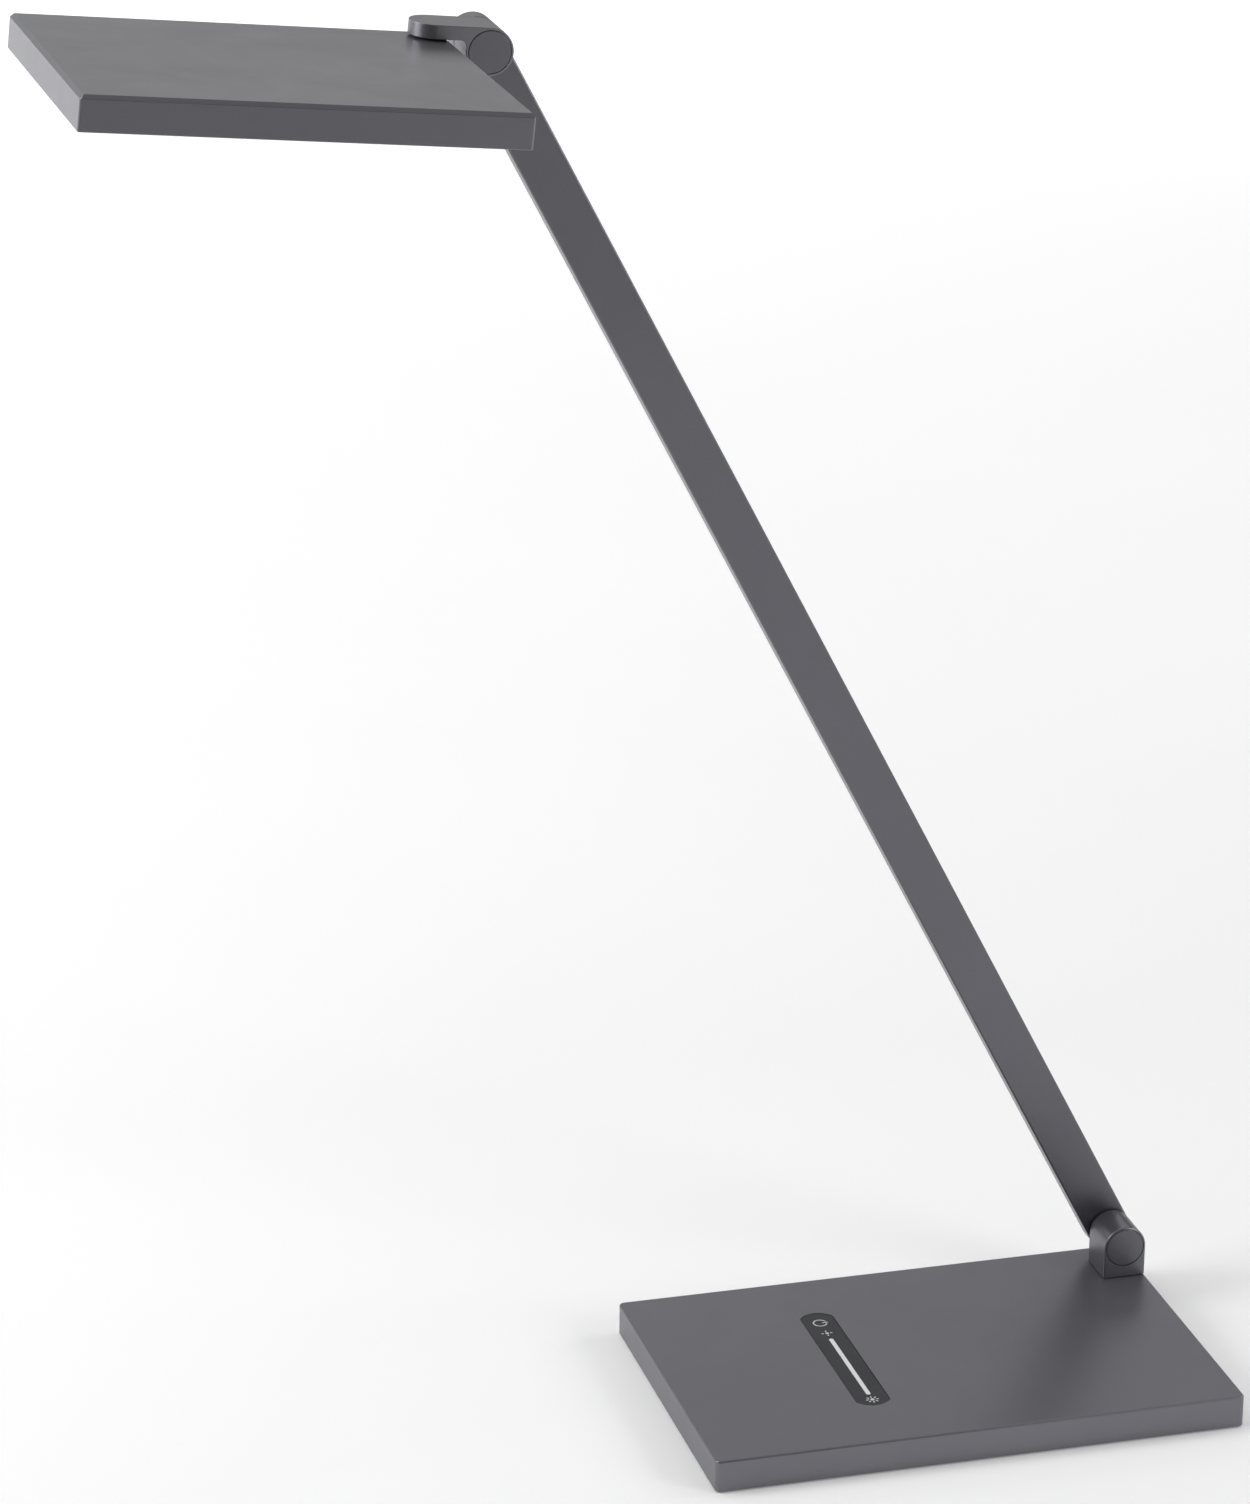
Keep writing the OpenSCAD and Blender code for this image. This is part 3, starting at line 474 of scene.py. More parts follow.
class Finish:
    """A material under construction: a shader with helpers for the nodes that feed it."""

    def __init__(self, name, roughness=0.5, metallic=0.0, **sockets):
        self.material = bpy.data.materials.new(name)
        self.material.use_nodes = True
        self.tree = self.material.node_tree
        self.shader = self.tree.nodes["Principled BSDF"]
        self.shader.inputs["Roughness"].default_value = roughness
        self.shader.inputs["Metallic"].default_value = metallic
        for label, value in sockets.items():
            self.shader.inputs[label.replace("_", " ")].default_value = value
        self.place = self.node("ShaderNodeTexCoord").outputs["Object"]

    def node(self, kind, **values):
        made = self.tree.nodes.new(kind)
        for label, value in values.items():
            setattr(made, label, value)
        return made

    def link(self, source, target):
        self.tree.links.new(source, target)

    def stretched(self, scale):
        """Object coordinates, scaled."""
        mapping = self.node("ShaderNodeMapping")
        mapping.inputs["Scale"].default_value = scale
        self.link(self.place, mapping.inputs["Vector"])
        return mapping.outputs["Vector"]

    def noise(self, scale, detail=2.0, rough=0.5, place=None, distortion=0.0):
        made = self.node("ShaderNodeTexNoise")
        made.inputs["Scale"].default_value = scale
        made.inputs["Detail"].default_value = detail
        made.inputs["Roughness"].default_value = rough
        made.inputs["Distortion"].default_value = distortion
        self.link(place or self.place, made.inputs["Vector"])
        return made.outputs["Fac"]

    def cells(self, scale):
        made = self.node("ShaderNodeTexVoronoi", feature="F1")
        made.inputs["Scale"].default_value = scale
        self.link(self.place, made.inputs["Vector"])
        return made.outputs["Distance"]

    def ramp(self, source, stops):
        """Colour ramp from (position, colour) stops."""
        made = self.node("ShaderNodeValToRGB")
        ramp = made.color_ramp
        while len(ramp.elements) < len(stops):
            ramp.elements.new(1.0)
        for element, (position, colour) in zip(ramp.elements, stops):
            element.position = position
            element.color = (*colour, 1.0)
        self.link(source, made.inputs["Fac"])
        return made.outputs["Color"]

    def span(self, source, low, high, start=0.3, end=0.7):
        """Maps a texture's usual span to low and high."""
        made = self.node("ShaderNodeMapRange")
        made.inputs["From Min"].default_value = start
        made.inputs["From Max"].default_value = end
        made.inputs["To Min"].default_value = low
        made.inputs["To Max"].default_value = high
        self.link(source, made.inputs["Value"])
        return made.outputs["Result"]

    def sum_of(self, *terms):
        """Adds up (source, weight) pairs."""
        total = None
        for source, weight in terms:
            made = self.node("ShaderNodeMath", operation="MULTIPLY_ADD")
            self.link(source, made.inputs[0])
            made.inputs[1].default_value = weight
            if total is None:
                made.inputs[2].default_value = 0.0
            else:
                self.link(total, made.inputs[2])
            total = made.outputs[0]
        return total

    def feed(self, socket, source):
        self.link(source, self.shader.inputs[socket])

    def bump(self, height, depth):
        """Raises the surface by up to depth, in millimetres, and returns the material."""
        made = self.node("ShaderNodeBump")
        made.inputs["Strength"].default_value = 1.0
        made.inputs["Distance"].default_value = depth * MM
        self.link(height, made.inputs["Height"])
        self.link(made.outputs["Normal"], self.shader.inputs["Normal"])
        return self.material


BLACK, WHITE = (0.0, 0.0, 0.0), (1.0, 1.0, 1.0)


def mixed(low, high, share):
    return tuple(a + (b - a) * share for a, b in zip(low, high))


def shaded(colour, share):
    """The colour, taken toward black by a share."""
    return mixed(colour, BLACK, share)


# How far the paint's metal flake shows
PAINT_METAL = 0.72


def satin_paint(name, colour, roughness):
    """Baked satin paint: a fine even grain, a trace of unevenness, and faint handling marks."""
    f = Finish(name, roughness, PAINT_METAL)
    broad = f.noise(9.0, 3.0, 0.55)
    grain = f.noise(2600.0, 2.0, 0.6)
    peel = f.noise(520.0, 1.0, 0.5)
    handling = f.noise(38.0, 4.0, 0.65, distortion=0.6)
    tone = f.sum_of((broad, 0.6), (grain, 0.4))
    stops = [(0.32, shaded(colour, 0.07)), (0.68, mixed(colour, WHITE, 0.012))]
    f.feed("Base Color", f.ramp(tone, stops))
    rough = f.sum_of((handling, 0.12), (grain, 0.10))
    f.feed("Roughness", f.span(rough, roughness - 0.05, roughness + 0.05, 0.06, 0.16))
    return f.bump(f.sum_of((grain, 0.5), (peel, 1.0)), 0.012)


def gloss_panel(name, colour):
    """Dark hard-coated panel with the faint smears that fingers leave."""
    f = Finish(name, 0.2, Specular_IOR_Level=0.16)
    smear = f.noise(90.0, 4.0, 0.6, f.stretched((1.0, 0.35, 1.0)), 0.8)
    specks = f.noise(1500.0, 1.0)
    f.feed("Base Color", f.ramp(specks, [(0.3, shaded(colour, 0.15)), (0.7, colour)]))
    f.feed("Roughness", f.span(smear, 0.16, 0.30))
    return f.bump(smear, 0.002)


def moulded(name, colour, roughness=0.5, grain_scale=1400.0, depth=0.02):
    """Moulded plastic or rubber with a spark-eroded grain."""
    f = Finish(name, roughness)
    grain = f.noise(grain_scale, 3.0, 0.6)
    broad = f.noise(25.0, 2.0)
    tone = f.sum_of((grain, 0.5), (broad, 0.5))
    f.feed("Base Color", f.ramp(tone, [(0.3, shaded(colour, 0.12)), (0.7, colour)]))
    f.feed("Roughness", f.span(broad, roughness - 0.05, roughness + 0.05))
    return f.bump(grain, depth)


def metal(name, colour, roughness, lay=(1.0, 1.0, 1.0), scratch=900.0):
    """Bare or plated metal with a fine drawn lay and uneven plating."""
    f = Finish(name, roughness, 1.0)
    drawn = f.noise(scratch, 3.0, 0.7, f.stretched(lay))
    cloud = f.noise(160.0, 3.0, 0.6)
    f.feed("Base Color", f.ramp(cloud, [(0.3, shaded(colour, 0.18)), (0.7, colour)]))
    rough = f.sum_of((drawn, 0.6), (cloud, 0.4))
    f.feed("Roughness", f.span(rough, roughness - 0.08, roughness + 0.1))
    return f.bump(drawn, 0.006)


def circuit_board(name, colour):
    """Solder mask over copper tracks, with tinned pads."""
    f = Finish(name, 0.35)
    tracks = f.node("ShaderNodeTexBrick")
    tracks.inputs["Scale"].default_value = 260.0
    tracks.inputs["Mortar Size"].default_value = 0.035
    tracks.inputs["Color1"].default_value = (*colour, 1)
    tracks.inputs["Color2"].default_value = (*shaded(colour, 0.25), 1)
    tracks.inputs["Mortar"].default_value = (*mixed(colour, (0.5, 0.6, 0.3), 0.25), 1)
    f.link(f.place, tracks.inputs["Vector"])
    pads = f.ramp(f.cells(420.0), [(0.0, WHITE), (0.16, WHITE), (0.2, BLACK)])
    mix = f.node("ShaderNodeMix", data_type="RGBA")
    f.link(pads, mix.inputs["Factor"])
    f.link(tracks.outputs["Color"], mix.inputs["A"])
    mix.inputs["B"].default_value = (0.55, 0.56, 0.55, 1)
    f.feed("Base Color", mix.outputs["Result"])
    return f.bump(tracks.outputs["Fac"], 0.02)


def translucent(name, colour, roughness, through):
    """Opal or clear plastic that light passes into."""
    f = Finish(name, roughness, Transmission_Weight=through, IOR=1.49)
    cloud = f.noise(60.0, 2.0)
    f.feed("Base Color", f.ramp(cloud, [(0.3, shaded(colour, 0.05)), (0.7, colour)]))
    f.feed("Roughness", f.span(f.noise(900.0, 2.0), roughness - 0.04, roughness + 0.04))
    return f.material


ANTHRACITE = (0.190, 0.190, 0.212)
base_paint = satin_paint("base paint", ANTHRACITE, 0.36)
# Darker copy of the lamp's one anthracite paint: painted shade on the arm
arm_paint = satin_paint("arm paint", (0.160, 0.160, 0.180), 0.34)
head_paint = satin_paint("head paint", ANTHRACITE, 0.34)
# Lighter copy of the lamp's one anthracite paint: painted light on the bracket
painted_light_bracket_paint = satin_paint("bracket paint", (0.205, 0.205, 0.225), 0.38)
# Darker copy of the lamp's one anthracite paint: painted shade on the hinge caps
cap_paint = satin_paint("cap paint", (0.165, 0.165, 0.185), 0.34)
bezel_finish = moulded("bezel plastic", (0.05, 0.05, 0.056), 0.55, 1800.0, 0.015)
rubber = moulded("mat rubber", (0.016, 0.016, 0.017), 0.78, 700.0, 0.05)
cover_finish = satin_paint("cover paint", (0.02, 0.02, 0.022), 0.5)
dark_plastic = moulded("dark plastic", (0.012, 0.012, 0.013), 0.5)
lens_finish = gloss_panel("touch lens", (0.026, 0.027, 0.033))
slider_finish = translucent("slider light guide", (0.86, 0.88, 0.90), 0.4, 0.1)
mark_ink = moulded("printed marks", (0.62, 0.64, 0.67), 0.5, 2500.0, 0.004)
steel = metal("plated steel", (0.60, 0.61, 0.63), 0.32)
ballast_steel = metal("mill steel", (0.32, 0.32, 0.33), 0.5, (0.15, 1.0, 1.0), 600.0)
brass = metal("brass", (0.72, 0.52, 0.2), 0.3)
board_finish = circuit_board("solder mask", (0.02, 0.13, 0.06))
parts_finish = moulded("component bodies", (0.025, 0.025, 0.03), 0.45)
cable_finish = moulded("cable jacket", (0.018, 0.018, 0.02), 0.55, 1100.0, 0.01)
opal = translucent("opal diffuser", (0.83, 0.83, 0.80), 0.45, 0.35)
acrylic = translucent("clear guide", (0.9, 0.94, 0.96), 0.1, 0.9)
white_film = moulded("white film", (0.86, 0.86, 0.86), 0.4, 1500.0, 0.003)
phosphor = moulded("led phosphor", (0.85, 0.68, 0.18), 0.35, 2200.0, 0.004)

# ---- Base ----

# Corner bosses for the cover, bosses for the ballast, and the hinge block's two screws
boss_x, boss_y = IN_X - BOSS_AT, IN_Y - BOSS_AT
boss_points = [(sx * boss_x, sy * boss_y) for sx in (-1, 1) for sy in (-1, 1)]
ballast_x = boss_x - BOSS_R - BALLAST_CLEAR - BALLAST_HOLE_X
ballast_rows = (-IN_Y + BALLAST_CLEAR + BALLAST_HOLE_Y, IN_Y - BALLAST_BACK - BALLAST_HOLE_Y)
ballast_points = [(sx * ballast_x, y) for sx in (-1, 1) for y in ballast_rows]
block_screw_points = [(BLOCK_X, KNUCKLE_MID + side * BLOCK_SCREW_AT) for side in (-1, 1)]
JACK_X, JACK_Z, JACK_R = -70.0, (COVER_TOP + ROOF_Z) / 2, 3.3

base_rect = rect_outline(-BASE_L / 2, BASE_L / 2, -BASE_D / 2, BASE_D / 2, BASE_CORNER)
cavity_rect = rect_outline(-IN_X, IN_X, -IN_Y, IN_Y, CAVITY_CORNER, 4)
base_case = slab("base_case", base_rect, round_levels(RIM_Z, BASE_H, 0.3, 0.85))
combine(
    base_case,
    [
        prism(cavity_rect(0), -PAST, ROOF_Z),
        prism(strip_outline(-SEAT_GAP), LENS_Z, BASE_H + PAST),
        prism(strip_outline(STRIP_LEDGE), ROOF_Z - PAST, LENS_Z + PAST / 2),
        front_rod(JACK_R + SEAT_GAP, IN_Y - PAST, BASE_D / 2 + PAST, x=JACK_X, z=JACK_Z),
        rod(WIRE_R, ROOF_Z - PAST, BASE_H + PAST, BLOCK_X, WIRE_Y, steps=24),
    ]
    + [
        rod(BLOCK_HOLE_R, ROOF_Z - PAST, BASE_H + PAST, x, y, steps=24)
        for x, y in block_screw_points
    ],
)
combine(
    base_case,
    [rod(BOSS_R, COVER_TOP, ROOF_Z + SINK, x, y, steps=24) for x, y in boss_points]
    + [rod(BOSS_R, BALLAST_TOP, ROOF_Z + SINK, x, y, steps=24) for x, y in ballast_points],
    "UNION",
)
# The corner pilot holes stop short of the roof, and the ballast's go a little into it
combine(
    base_case,
    [rod(PILOT_R, COVER_TOP - PAST, ROOF_Z - 0.5, x, y, steps=16) for x, y in boss_points]
    + [rod(PILOT_R, BALLAST_TOP - PAST, ROOF_Z + 0.8, x, y, steps=16) for x, y in ballast_points],
)
soften(base_case, 0.12)
keep(base_case, "base", "base_paint", base_paint, "base_housing")

lens = slab(
    "touch_panel", strip_outline, round_levels(LENS_Z, LENS_Z + LENS_T, 0.05, 0.18, 4)
)
slider_rect = rect_outline(
    -STRIP_X - SLIDER_W / 2,
    -STRIP_X + SLIDER_W / 2,
    SLIDER_Y - SLIDER_L / 2,
    SLIDER_Y + SLIDER_L / 2,
    SLIDER_W / 2,
    12,
)
combine(lens, [prism(slider_rect(-0.04), LENS_Z - PAST, BASE_H + PAST)])
soften(lens, 0.04, steps=2)
keep(lens, "base", "lens", lens_finish, "touch_lens")

slider = slab(
    "slider_bar", slider_rect, round_levels(LENS_Z, LENS_Z + LENS_T + 0.02, 0.05, 0.12, 4)
)
soften(slider)
keep(slider, "base", "slider", slider_finish, "slider_light")

# ---- Hinges ----


def hinge_bores(place):
    """Cutters for a knuckle: cap seat, washer stack and pin."""
    return [
        front_rod(CAP_R + SEAT_GAP, KNUCKLE_Y0 - PAST, KNUCKLE_Y0 + CAP_T + FIT, place, steps=96),
        front_rod(STACK_R, KNUCKLE_Y0 - PAST, STACK_FLOOR, place),
        front_rod(PIN_R + PIN_CLEAR, KNUCKLE_Y0, KNUCKLE_Y1 + PAST, place),
    ]


def hinge_cap(name, place, body, node):
    """Round flat cap with a soft edge, flush with the knuckle's front."""
    levels = round_levels(-KNUCKLE_Y0 - CAP_T, -KNUCKLE_Y0, 0.2, 0.3, 5)
    cap = slab(name, disc_outline(CAP_R, steps=96), levels, place @ UPRIGHT)
    soften(cap)
    keep(cap, body, "cap_paint", cap_paint, node)


block = slab(
    "lower_knuckle",
    block_outline,
    round_levels(-KNUCKLE_Y1, -KNUCKLE_Y0, 0.6, 0.7, 5),
    BLOCK_FRAME @ UPRIGHT,
)
combine(
    block,
    hinge_bores(BLOCK_FRAME)
    + [
        rod(BLOCK_BORE_R, BASE_H - PAST, BLOCK_Z - STACK_R - BLOCK_ROOF, x, y, steps=24)
        for x, y in block_screw_points
    ]
    + [rod(WIRE_R, BASE_H - PAST, BLOCK_Z, BLOCK_X, WIRE_Y, steps=24)],
)
soften(block, 0.08)
keep(block, "base", "base_paint", base_paint, "hinge_block")
hinge_cap("lower_cap", BLOCK_FRAME, "base", "block_cap")

# ---- Arm ----

arm = slab(
    "arm_bar",
    bar_outline(ARM_L, ARM_R),
    round_levels(-ARM_Y1, -ARM_Y0, 0.4, 0.7, 5),
    ARM_FRAME @ UPRIGHT,
)
combine(
    arm,
    [
        prism(
            bar_outline(ARM_L, ARM_R - ARM_WALL)(0),
            -ARM_Y1 - PAST,
            -ARM_Y0 - ARM_WALL,
            ARM_FRAME @ UPRIGHT,
        )
    ]
    + [
        front_rod(PIN_R + 0.3, ARM_Y0 - PAST, ARM_Y0 + ARM_WALL + PAST, ARM_FRAME, z=z)
        for z in (0, ARM_L)
    ],
)
soften(arm, 0.08)
keep(arm, "arm", "arm_paint", arm_paint, "arm_channel")

back_screw_places = list(BACK_SCREW_AT) + [ARM_L - z for z in reversed(BACK_SCREW_AT)]
back_cover = slab(
    "arm_back",
    bar_outline(ARM_L, ARM_R - ARM_WALL - SEAT_GAP),
    round_levels(-ARM_Y1, -ARM_Y1 + BACK_T, 0.25, 0.05, 3),
    ARM_FRAME @ UPRIGHT,
)
combine(
    back_cover,
    [
        front_rod(THROUGH_R, ARM_Y1 - BACK_T - PAST, ARM_Y1 + PAST, ARM_FRAME, z=z, steps=24)
        for z in back_screw_places
    ]
    + [
        front_rod(HEAD_CLEAR_R, ARM_Y1 - SCREW_HEAD_H, ARM_Y1 + PAST, ARM_FRAME, z=z)
        for z in back_screw_places
    ],
)
soften(back_cover, 0.08)
keep(back_cover, "arm", "arm_paint", arm_paint, "arm_back_cover")

# ---- Head bracket ----

bracket = prism(bracket_outline(), -KNUCKLE_Y1, -KNUCKLE_Y0, TILT_FRAME @ UPRIGHT)
bracket.name = "head_knuckle"
# The tongue's round end, cut from above with a plan that passes the rest of the bracket
clear = KNUCKLE_R + 5
plan_points = arc(-SWIVEL_REACH, KNUCKLE_MID, KNUCKLE_D / 2, 90, 270, 48) + [
    (clear, KNUCKLE_Y0),
    (clear, KNUCKLE_Y1),
]
combine(bracket, [prism(plan_points, -clear, clear, TILT_FRAME)], "INTERSECT")
soften(bracket, 0.5, 38, 4)
swivel_bore = rod(
    BRACKET_BORE_R,
    TONGUE_Z - PAST,
    TONGUE_Z + BRACKET_BORE_H,
    -SWIVEL_REACH,
    KNUCKLE_MID,
    TILT_FRAME,
)
combine(bracket, hinge_bores(TILT_FRAME) + [swivel_bore])
soften(bracket, 0.06, 50, 2)
keep(bracket, "bracket", "arm_paint", painted_light_bracket_paint, "head_bracket")
hinge_cap("upper_cap", TILT_FRAME, "bracket", "bracket_cap")

# ---- Head ----

head_roof = HEAD_TOP - HEAD_WALL
head = slab(
    "head_case",
    head_plan(HEAD_IN, HEAD_CORNER, 8),
    bevel_levels(HEAD_Z, HEAD_TOP, 0.35, HEAD_BEVEL),
    SWIVEL_FRAME,
)
head_cavity = head_plan(HEAD_WALL, INNER_CORNER, 4)
combine(head, [prism(head_cavity(0), HEAD_Z - PAST, head_roof, SWIVEL_FRAME)])
# The screw by the bracket stands farther in, clear of the swivel
head_screw_points = [
    (HEAD_X0 + HEAD_SCREW_IN, HEAD_Y0 + HEAD_SCREW_IN),
    (HEAD_X0 + HEAD_SCREW_IN, HEAD_Y1 - HEAD_SCREW_IN),
    (HEAD_X1 - HEAD_SCREW_IN, HEAD_Y0 + HEAD_SCREW_IN),
    (HEAD_X1 - HEAD_SCREW_IN - RIM_END, HEAD_Y1 - HEAD_SCREW_IN),
]


def head_holes(r, z0, z1, steps):
    """A cutter or filler at each of the head's screws."""
    return [rod(r, z0, z1, x, y, SWIVEL_FRAME, steps) for x, y in head_screw_points]


combine(
    head,
    [rod(HUB_R, head_roof - HUB_H, head_roof + SINK, place=SWIVEL_FRAME)]
    + head_holes(HEAD_BOSS_R, BEZEL_TOP, head_roof + SINK, 24),
    "UNION",
)
combine(
    head,
    [
        rod(SWIVEL_BORE_R, head_roof - 4, HEAD_TOP + PAST, place=SWIVEL_FRAME),
        rod(SWIVEL_END - HUB_WALL, BEZEL_TOP, head_roof - HUB_H, place=SWIVEL_FRAME),
    ]
    + head_holes(HEAD_PILOT_R, BEZEL_TOP - PAST, head_roof - 0.5, 16),
)
soften(head, 0.06, 50, 2)
keep(head, "head", "arm_paint", head_paint, "head_housing")

bezel = slab(
    "head_frame",
    head_plan(HEAD_WALL + SEAT_GAP, INNER_CORNER, 4),
    round_levels(HEAD_Z, BEZEL_TOP, 0.25, 0.1, 3),
    SWIVEL_FRAME,
)
window = window_plan(0, 2.0, 6)
lip = window_plan(LIP_W, 1.0, 4)
combine(
    bezel,
    [
        prism(window(0), HEAD_Z - PAST, BEZEL_TOP + PAST, SWIVEL_FRAME),
        prism(lip(0), HEAD_Z + BEZEL_LIP, BEZEL_TOP + PAST, SWIVEL_FRAME),
    ]
    + head_holes(FINE_THROUGH_R, HEAD_Z - PAST, BEZEL_TOP + PAST, 16)
    + head_holes(FINE_CLEAR_R, HEAD_Z - PAST, HEAD_Z + FINE_SINK, 32),
)
soften(bezel, 0.1)
keep(bezel, "head", "bezel", bezel_finish, "head_bezel")

diffuser = slab(
    "light_window",
    window_plan(LIP_W - SEAT_GAP, INNER_CORNER, 4),
    round_levels(HEAD_Z + BEZEL_LIP, HEAD_Z + BEZEL_LIP + DIFFUSER_T, 0.1, 0.1, 2),
    SWIVEL_FRAME,
)
soften(diffuser)
keep(diffuser, "head", "diffuser", opal, "diffuser")

# ---- Screws ----


def cross_screw(r, head_r, head_h, length):
    """Pan screw along Z: face down at zero, rounded head, rolled thread and cross recess."""
    flat, dome, root, pitch = head_r * 0.55, head_h * 0.62, r * 0.8, r * 0.6
    profile = [(AXIS_R, 0.0), (flat, 0.0)]
    for a in bend(90, 4)[1:]:
        profile.append((flat + (head_r - flat) * sin(a), dome * (1 - cos(a))))
    profile += [(head_r, head_h), (r * 1.02, head_h)]
    for i in range(int((length - head_h - r) / pitch)):
        z = head_h + pitch * (i + 0.5)
        profile += [(root, z), (r, z + pitch * 0.5)]
    profile += [(root, length - r), (r * 0.2, length), (AXIS_R, length)]
    screw = turned("screw", profile, steps=20)
    slot_l, slot_w, depth = head_r * 0.62, head_r * 0.2, head_h * 0.6
    for x, y in ((slot_l, slot_w), (slot_w, slot_l)):
        slot = rect_outline(-x, x, -y, y, slot_w * 0.4, 2)
        combine(screw, [slab("cutter", slot, [(0, -0.2), (slot_w * 0.5, depth)])])
    return crisp(screw, 42)


def screws(name, sizes, points, frame_of, spin_seed):
    """Sets one screw at every point, each stopped at its own angle."""
    screw = cross_screw(*sizes)
    tree = Tree(name)
    part = tree.node("GeometryNodeObjectInfo", Object=tree.size("Screw", screw, "Object"))
    lean = tree.size("Lean", frame_of.to_euler(), "Rotation")
    seated = tree.on_points(tree.host, part.outputs["Geometry"], lean)
    spin = tree.node("FunctionNodeRandomValue", Max=pi, Seed=tree.size("Seed", spin_seed, "Int"))
    turned_in = tree.node(
        "GeometryNodeRotateInstances",
        Instances=seated,
        Rotation=tree.vector(z=spin.outputs[1]),
    )
    piece = tree.make(turned_in.outputs[0], steel, places(name, points))
    bpy.data.objects.remove(screw)
    return piece


def at(place, points):
    return [place @ Vector(p) for p in points]


foot_screws = screws(
    "foot_screws",
    (SCREW_R, SCREW_HEAD_R, SCREW_HEAD_H, ROOF_Z - 1 - MAT_T + SCREW_HEAD_H),
    [(x, y, MAT_T - SCREW_HEAD_H) for x, y in boss_points],
    STILL,
    3,
)
keep(foot_screws, "base", "steel", None, "cover_screws")
back_screws = screws(
    "back_screws",
    (SCREW_R, SCREW_HEAD_R, SCREW_HEAD_H, BACK_T + 3.6),
    at(ARM_FRAME, [(0, ARM_Y1, z) for z in back_screw_places]),
    ARM_FRAME @ UPRIGHT,
    7,
)
keep(back_screws, "arm", "steel", None, "arm_cover_screws")
frame_screws = screws(
    "frame_screws",
    (FINE_R, FINE_HEAD_R, FINE_HEAD_H, BEZEL_TOP + 4 - HEAD_Z - FINE_DROP),
    at(SWIVEL_FRAME, [(x, y, HEAD_Z + FINE_DROP) for x, y in head_screw_points]),
    SWIVEL_FRAME,
    5,
)
keep(frame_screws, "head", "steel", None, "head_screws")

# ---- Light source ----

tree = Tree("led_rows")
window_x0, window_x1, window_y0, window_y1 = (edge * MM for edge in WINDOW)
pitch = (window_x1 - window_x0) / LED_COUNT
led_y = (LED_Y + LED_T / 2) * MM
body = tree.size("Body", (LED_W * MM, LED_T * MM, (GUIDE_T - 2 * LED_INSET) * MM), "Vector")
cube = tree.node("GeometryNodeMeshCube", Size=body).outputs["Mesh"]
normal = tree.node("GeometryNodeInputNormal").outputs[0]
faces_guide = tree.sum(
    "LESS_THAN", tree.node("ShaderNodeSeparateXYZ", Vector=normal).outputs["Y"], -0.9
)
rim = tree.node(
    "GeometryNodeExtrudeMesh", Mesh=cube, Selection=faces_guide, Offset_Scale=0.0
)
inner = tree.node(
    "GeometryNodeScaleElements",
    Geometry=rim.outputs["Mesh"],
    Selection=rim.outputs["Top"],
    Scale=tree.size("Window share", 0.78),
)
well = tree.node(
    "GeometryNodeExtrudeMesh",
    Mesh=inner.outputs[0],
    Selection=rim.outputs["Top"],
    Offset_Scale=tree.size("Window depth", -0.22 * MM),
)
led = tree.node(
    "GeometryNodeStoreNamedAttribute",
    {"data_type": "BOOLEAN", "domain": "FACE"},
    Geometry=well.outputs["Mesh"],
    Name="picked",
    Value=well.outputs["Top"],
).outputs[0]
count = tree.size("Count", LED_COUNT, "Int")
step = tree.size("Pitch", pitch)
level = (GUIDE_Z + GUIDE_T / 2) * MM
rows = []
for y, facing in ((led_y, 0.0), (window_y0 + window_y1 - led_y, pi)):
    line = tree.node(
        "GeometryNodeMeshLine",
        Count=count,
        Start_Location=(window_x0 + pitch / 2, y, level),
        Offset=tree.vector(x=step),
    )
    rows.append(tree.on_points(line.outputs[0], led, (0.0, 0.0, facing)))
place = Matrix.Scale(MM, 4) @ SWIVEL_FRAME @ Matrix.Scale(1 / MM, 4)
seat = tree.node(
    "GeometryNodeTransform",
    Geometry=tree.join(*rows),
    Translation=tree.size("Seat", place.to_translation(), "Vector"),
    Rotation=tree.size("Lean", place.to_euler(), "Rotation"),
)
keep(tree.make(seat.outputs[0], white_film, None, phosphor), "head", "led", None, "leds")

# ---- Marks on the touch strip ----

tree = Tree("strip_marks")
line_w = tree.size("Line", MARK_LINE * MM)
mark_t = tree.size("Thickness", MARK_T * MM)
mark_level = (LENS_Z + LENS_T - MARK_T / 2 + MARK_PROUD) * MM


def moved(geometry, y, x=0.0):
    return tree.node(
        "GeometryNodeTransform",
        Geometry=geometry,
        Translation=((x - STRIP_X) * MM, y * MM, mark_level),
    ).outputs[0]


def sun(label, y, dot_r, start, end, rays):
    """Dot with a ring of rays."""
    dot = tree.node(
        "GeometryNodeMeshCylinder",
        Vertices=24,
        Radius=tree.size(label + " dot", dot_r * MM),
        Depth=mark_t,
    ).outputs["Mesh"]
    first = tree.size(label + " ray start", start * MM)
    last = tree.size(label + " ray end", end * MM)
    ray = tree.node(
        "GeometryNodeMeshCube",
        Size=tree.vector(tree.sum("SUBTRACT", last, first), line_w, mark_t),
    ).outputs["Mesh"]
    ring = tree.node(
        "GeometryNodeMeshCircle",
        Vertices=tree.size(label + " rays", rays, "Int"),
        Radius=tree.sum("MULTIPLY", tree.sum("ADD", first, last), 0.5),
    ).outputs["Mesh"]
    outward = tree.node(
        "FunctionNodeAlignRotationToVector",
        {"axis": "X"},
        Vector=tree.node("GeometryNodeInputPosition").outputs[0],
    ).outputs[0]
    return moved(tree.join(dot, tree.on_points(ring, ray, outward)), y)


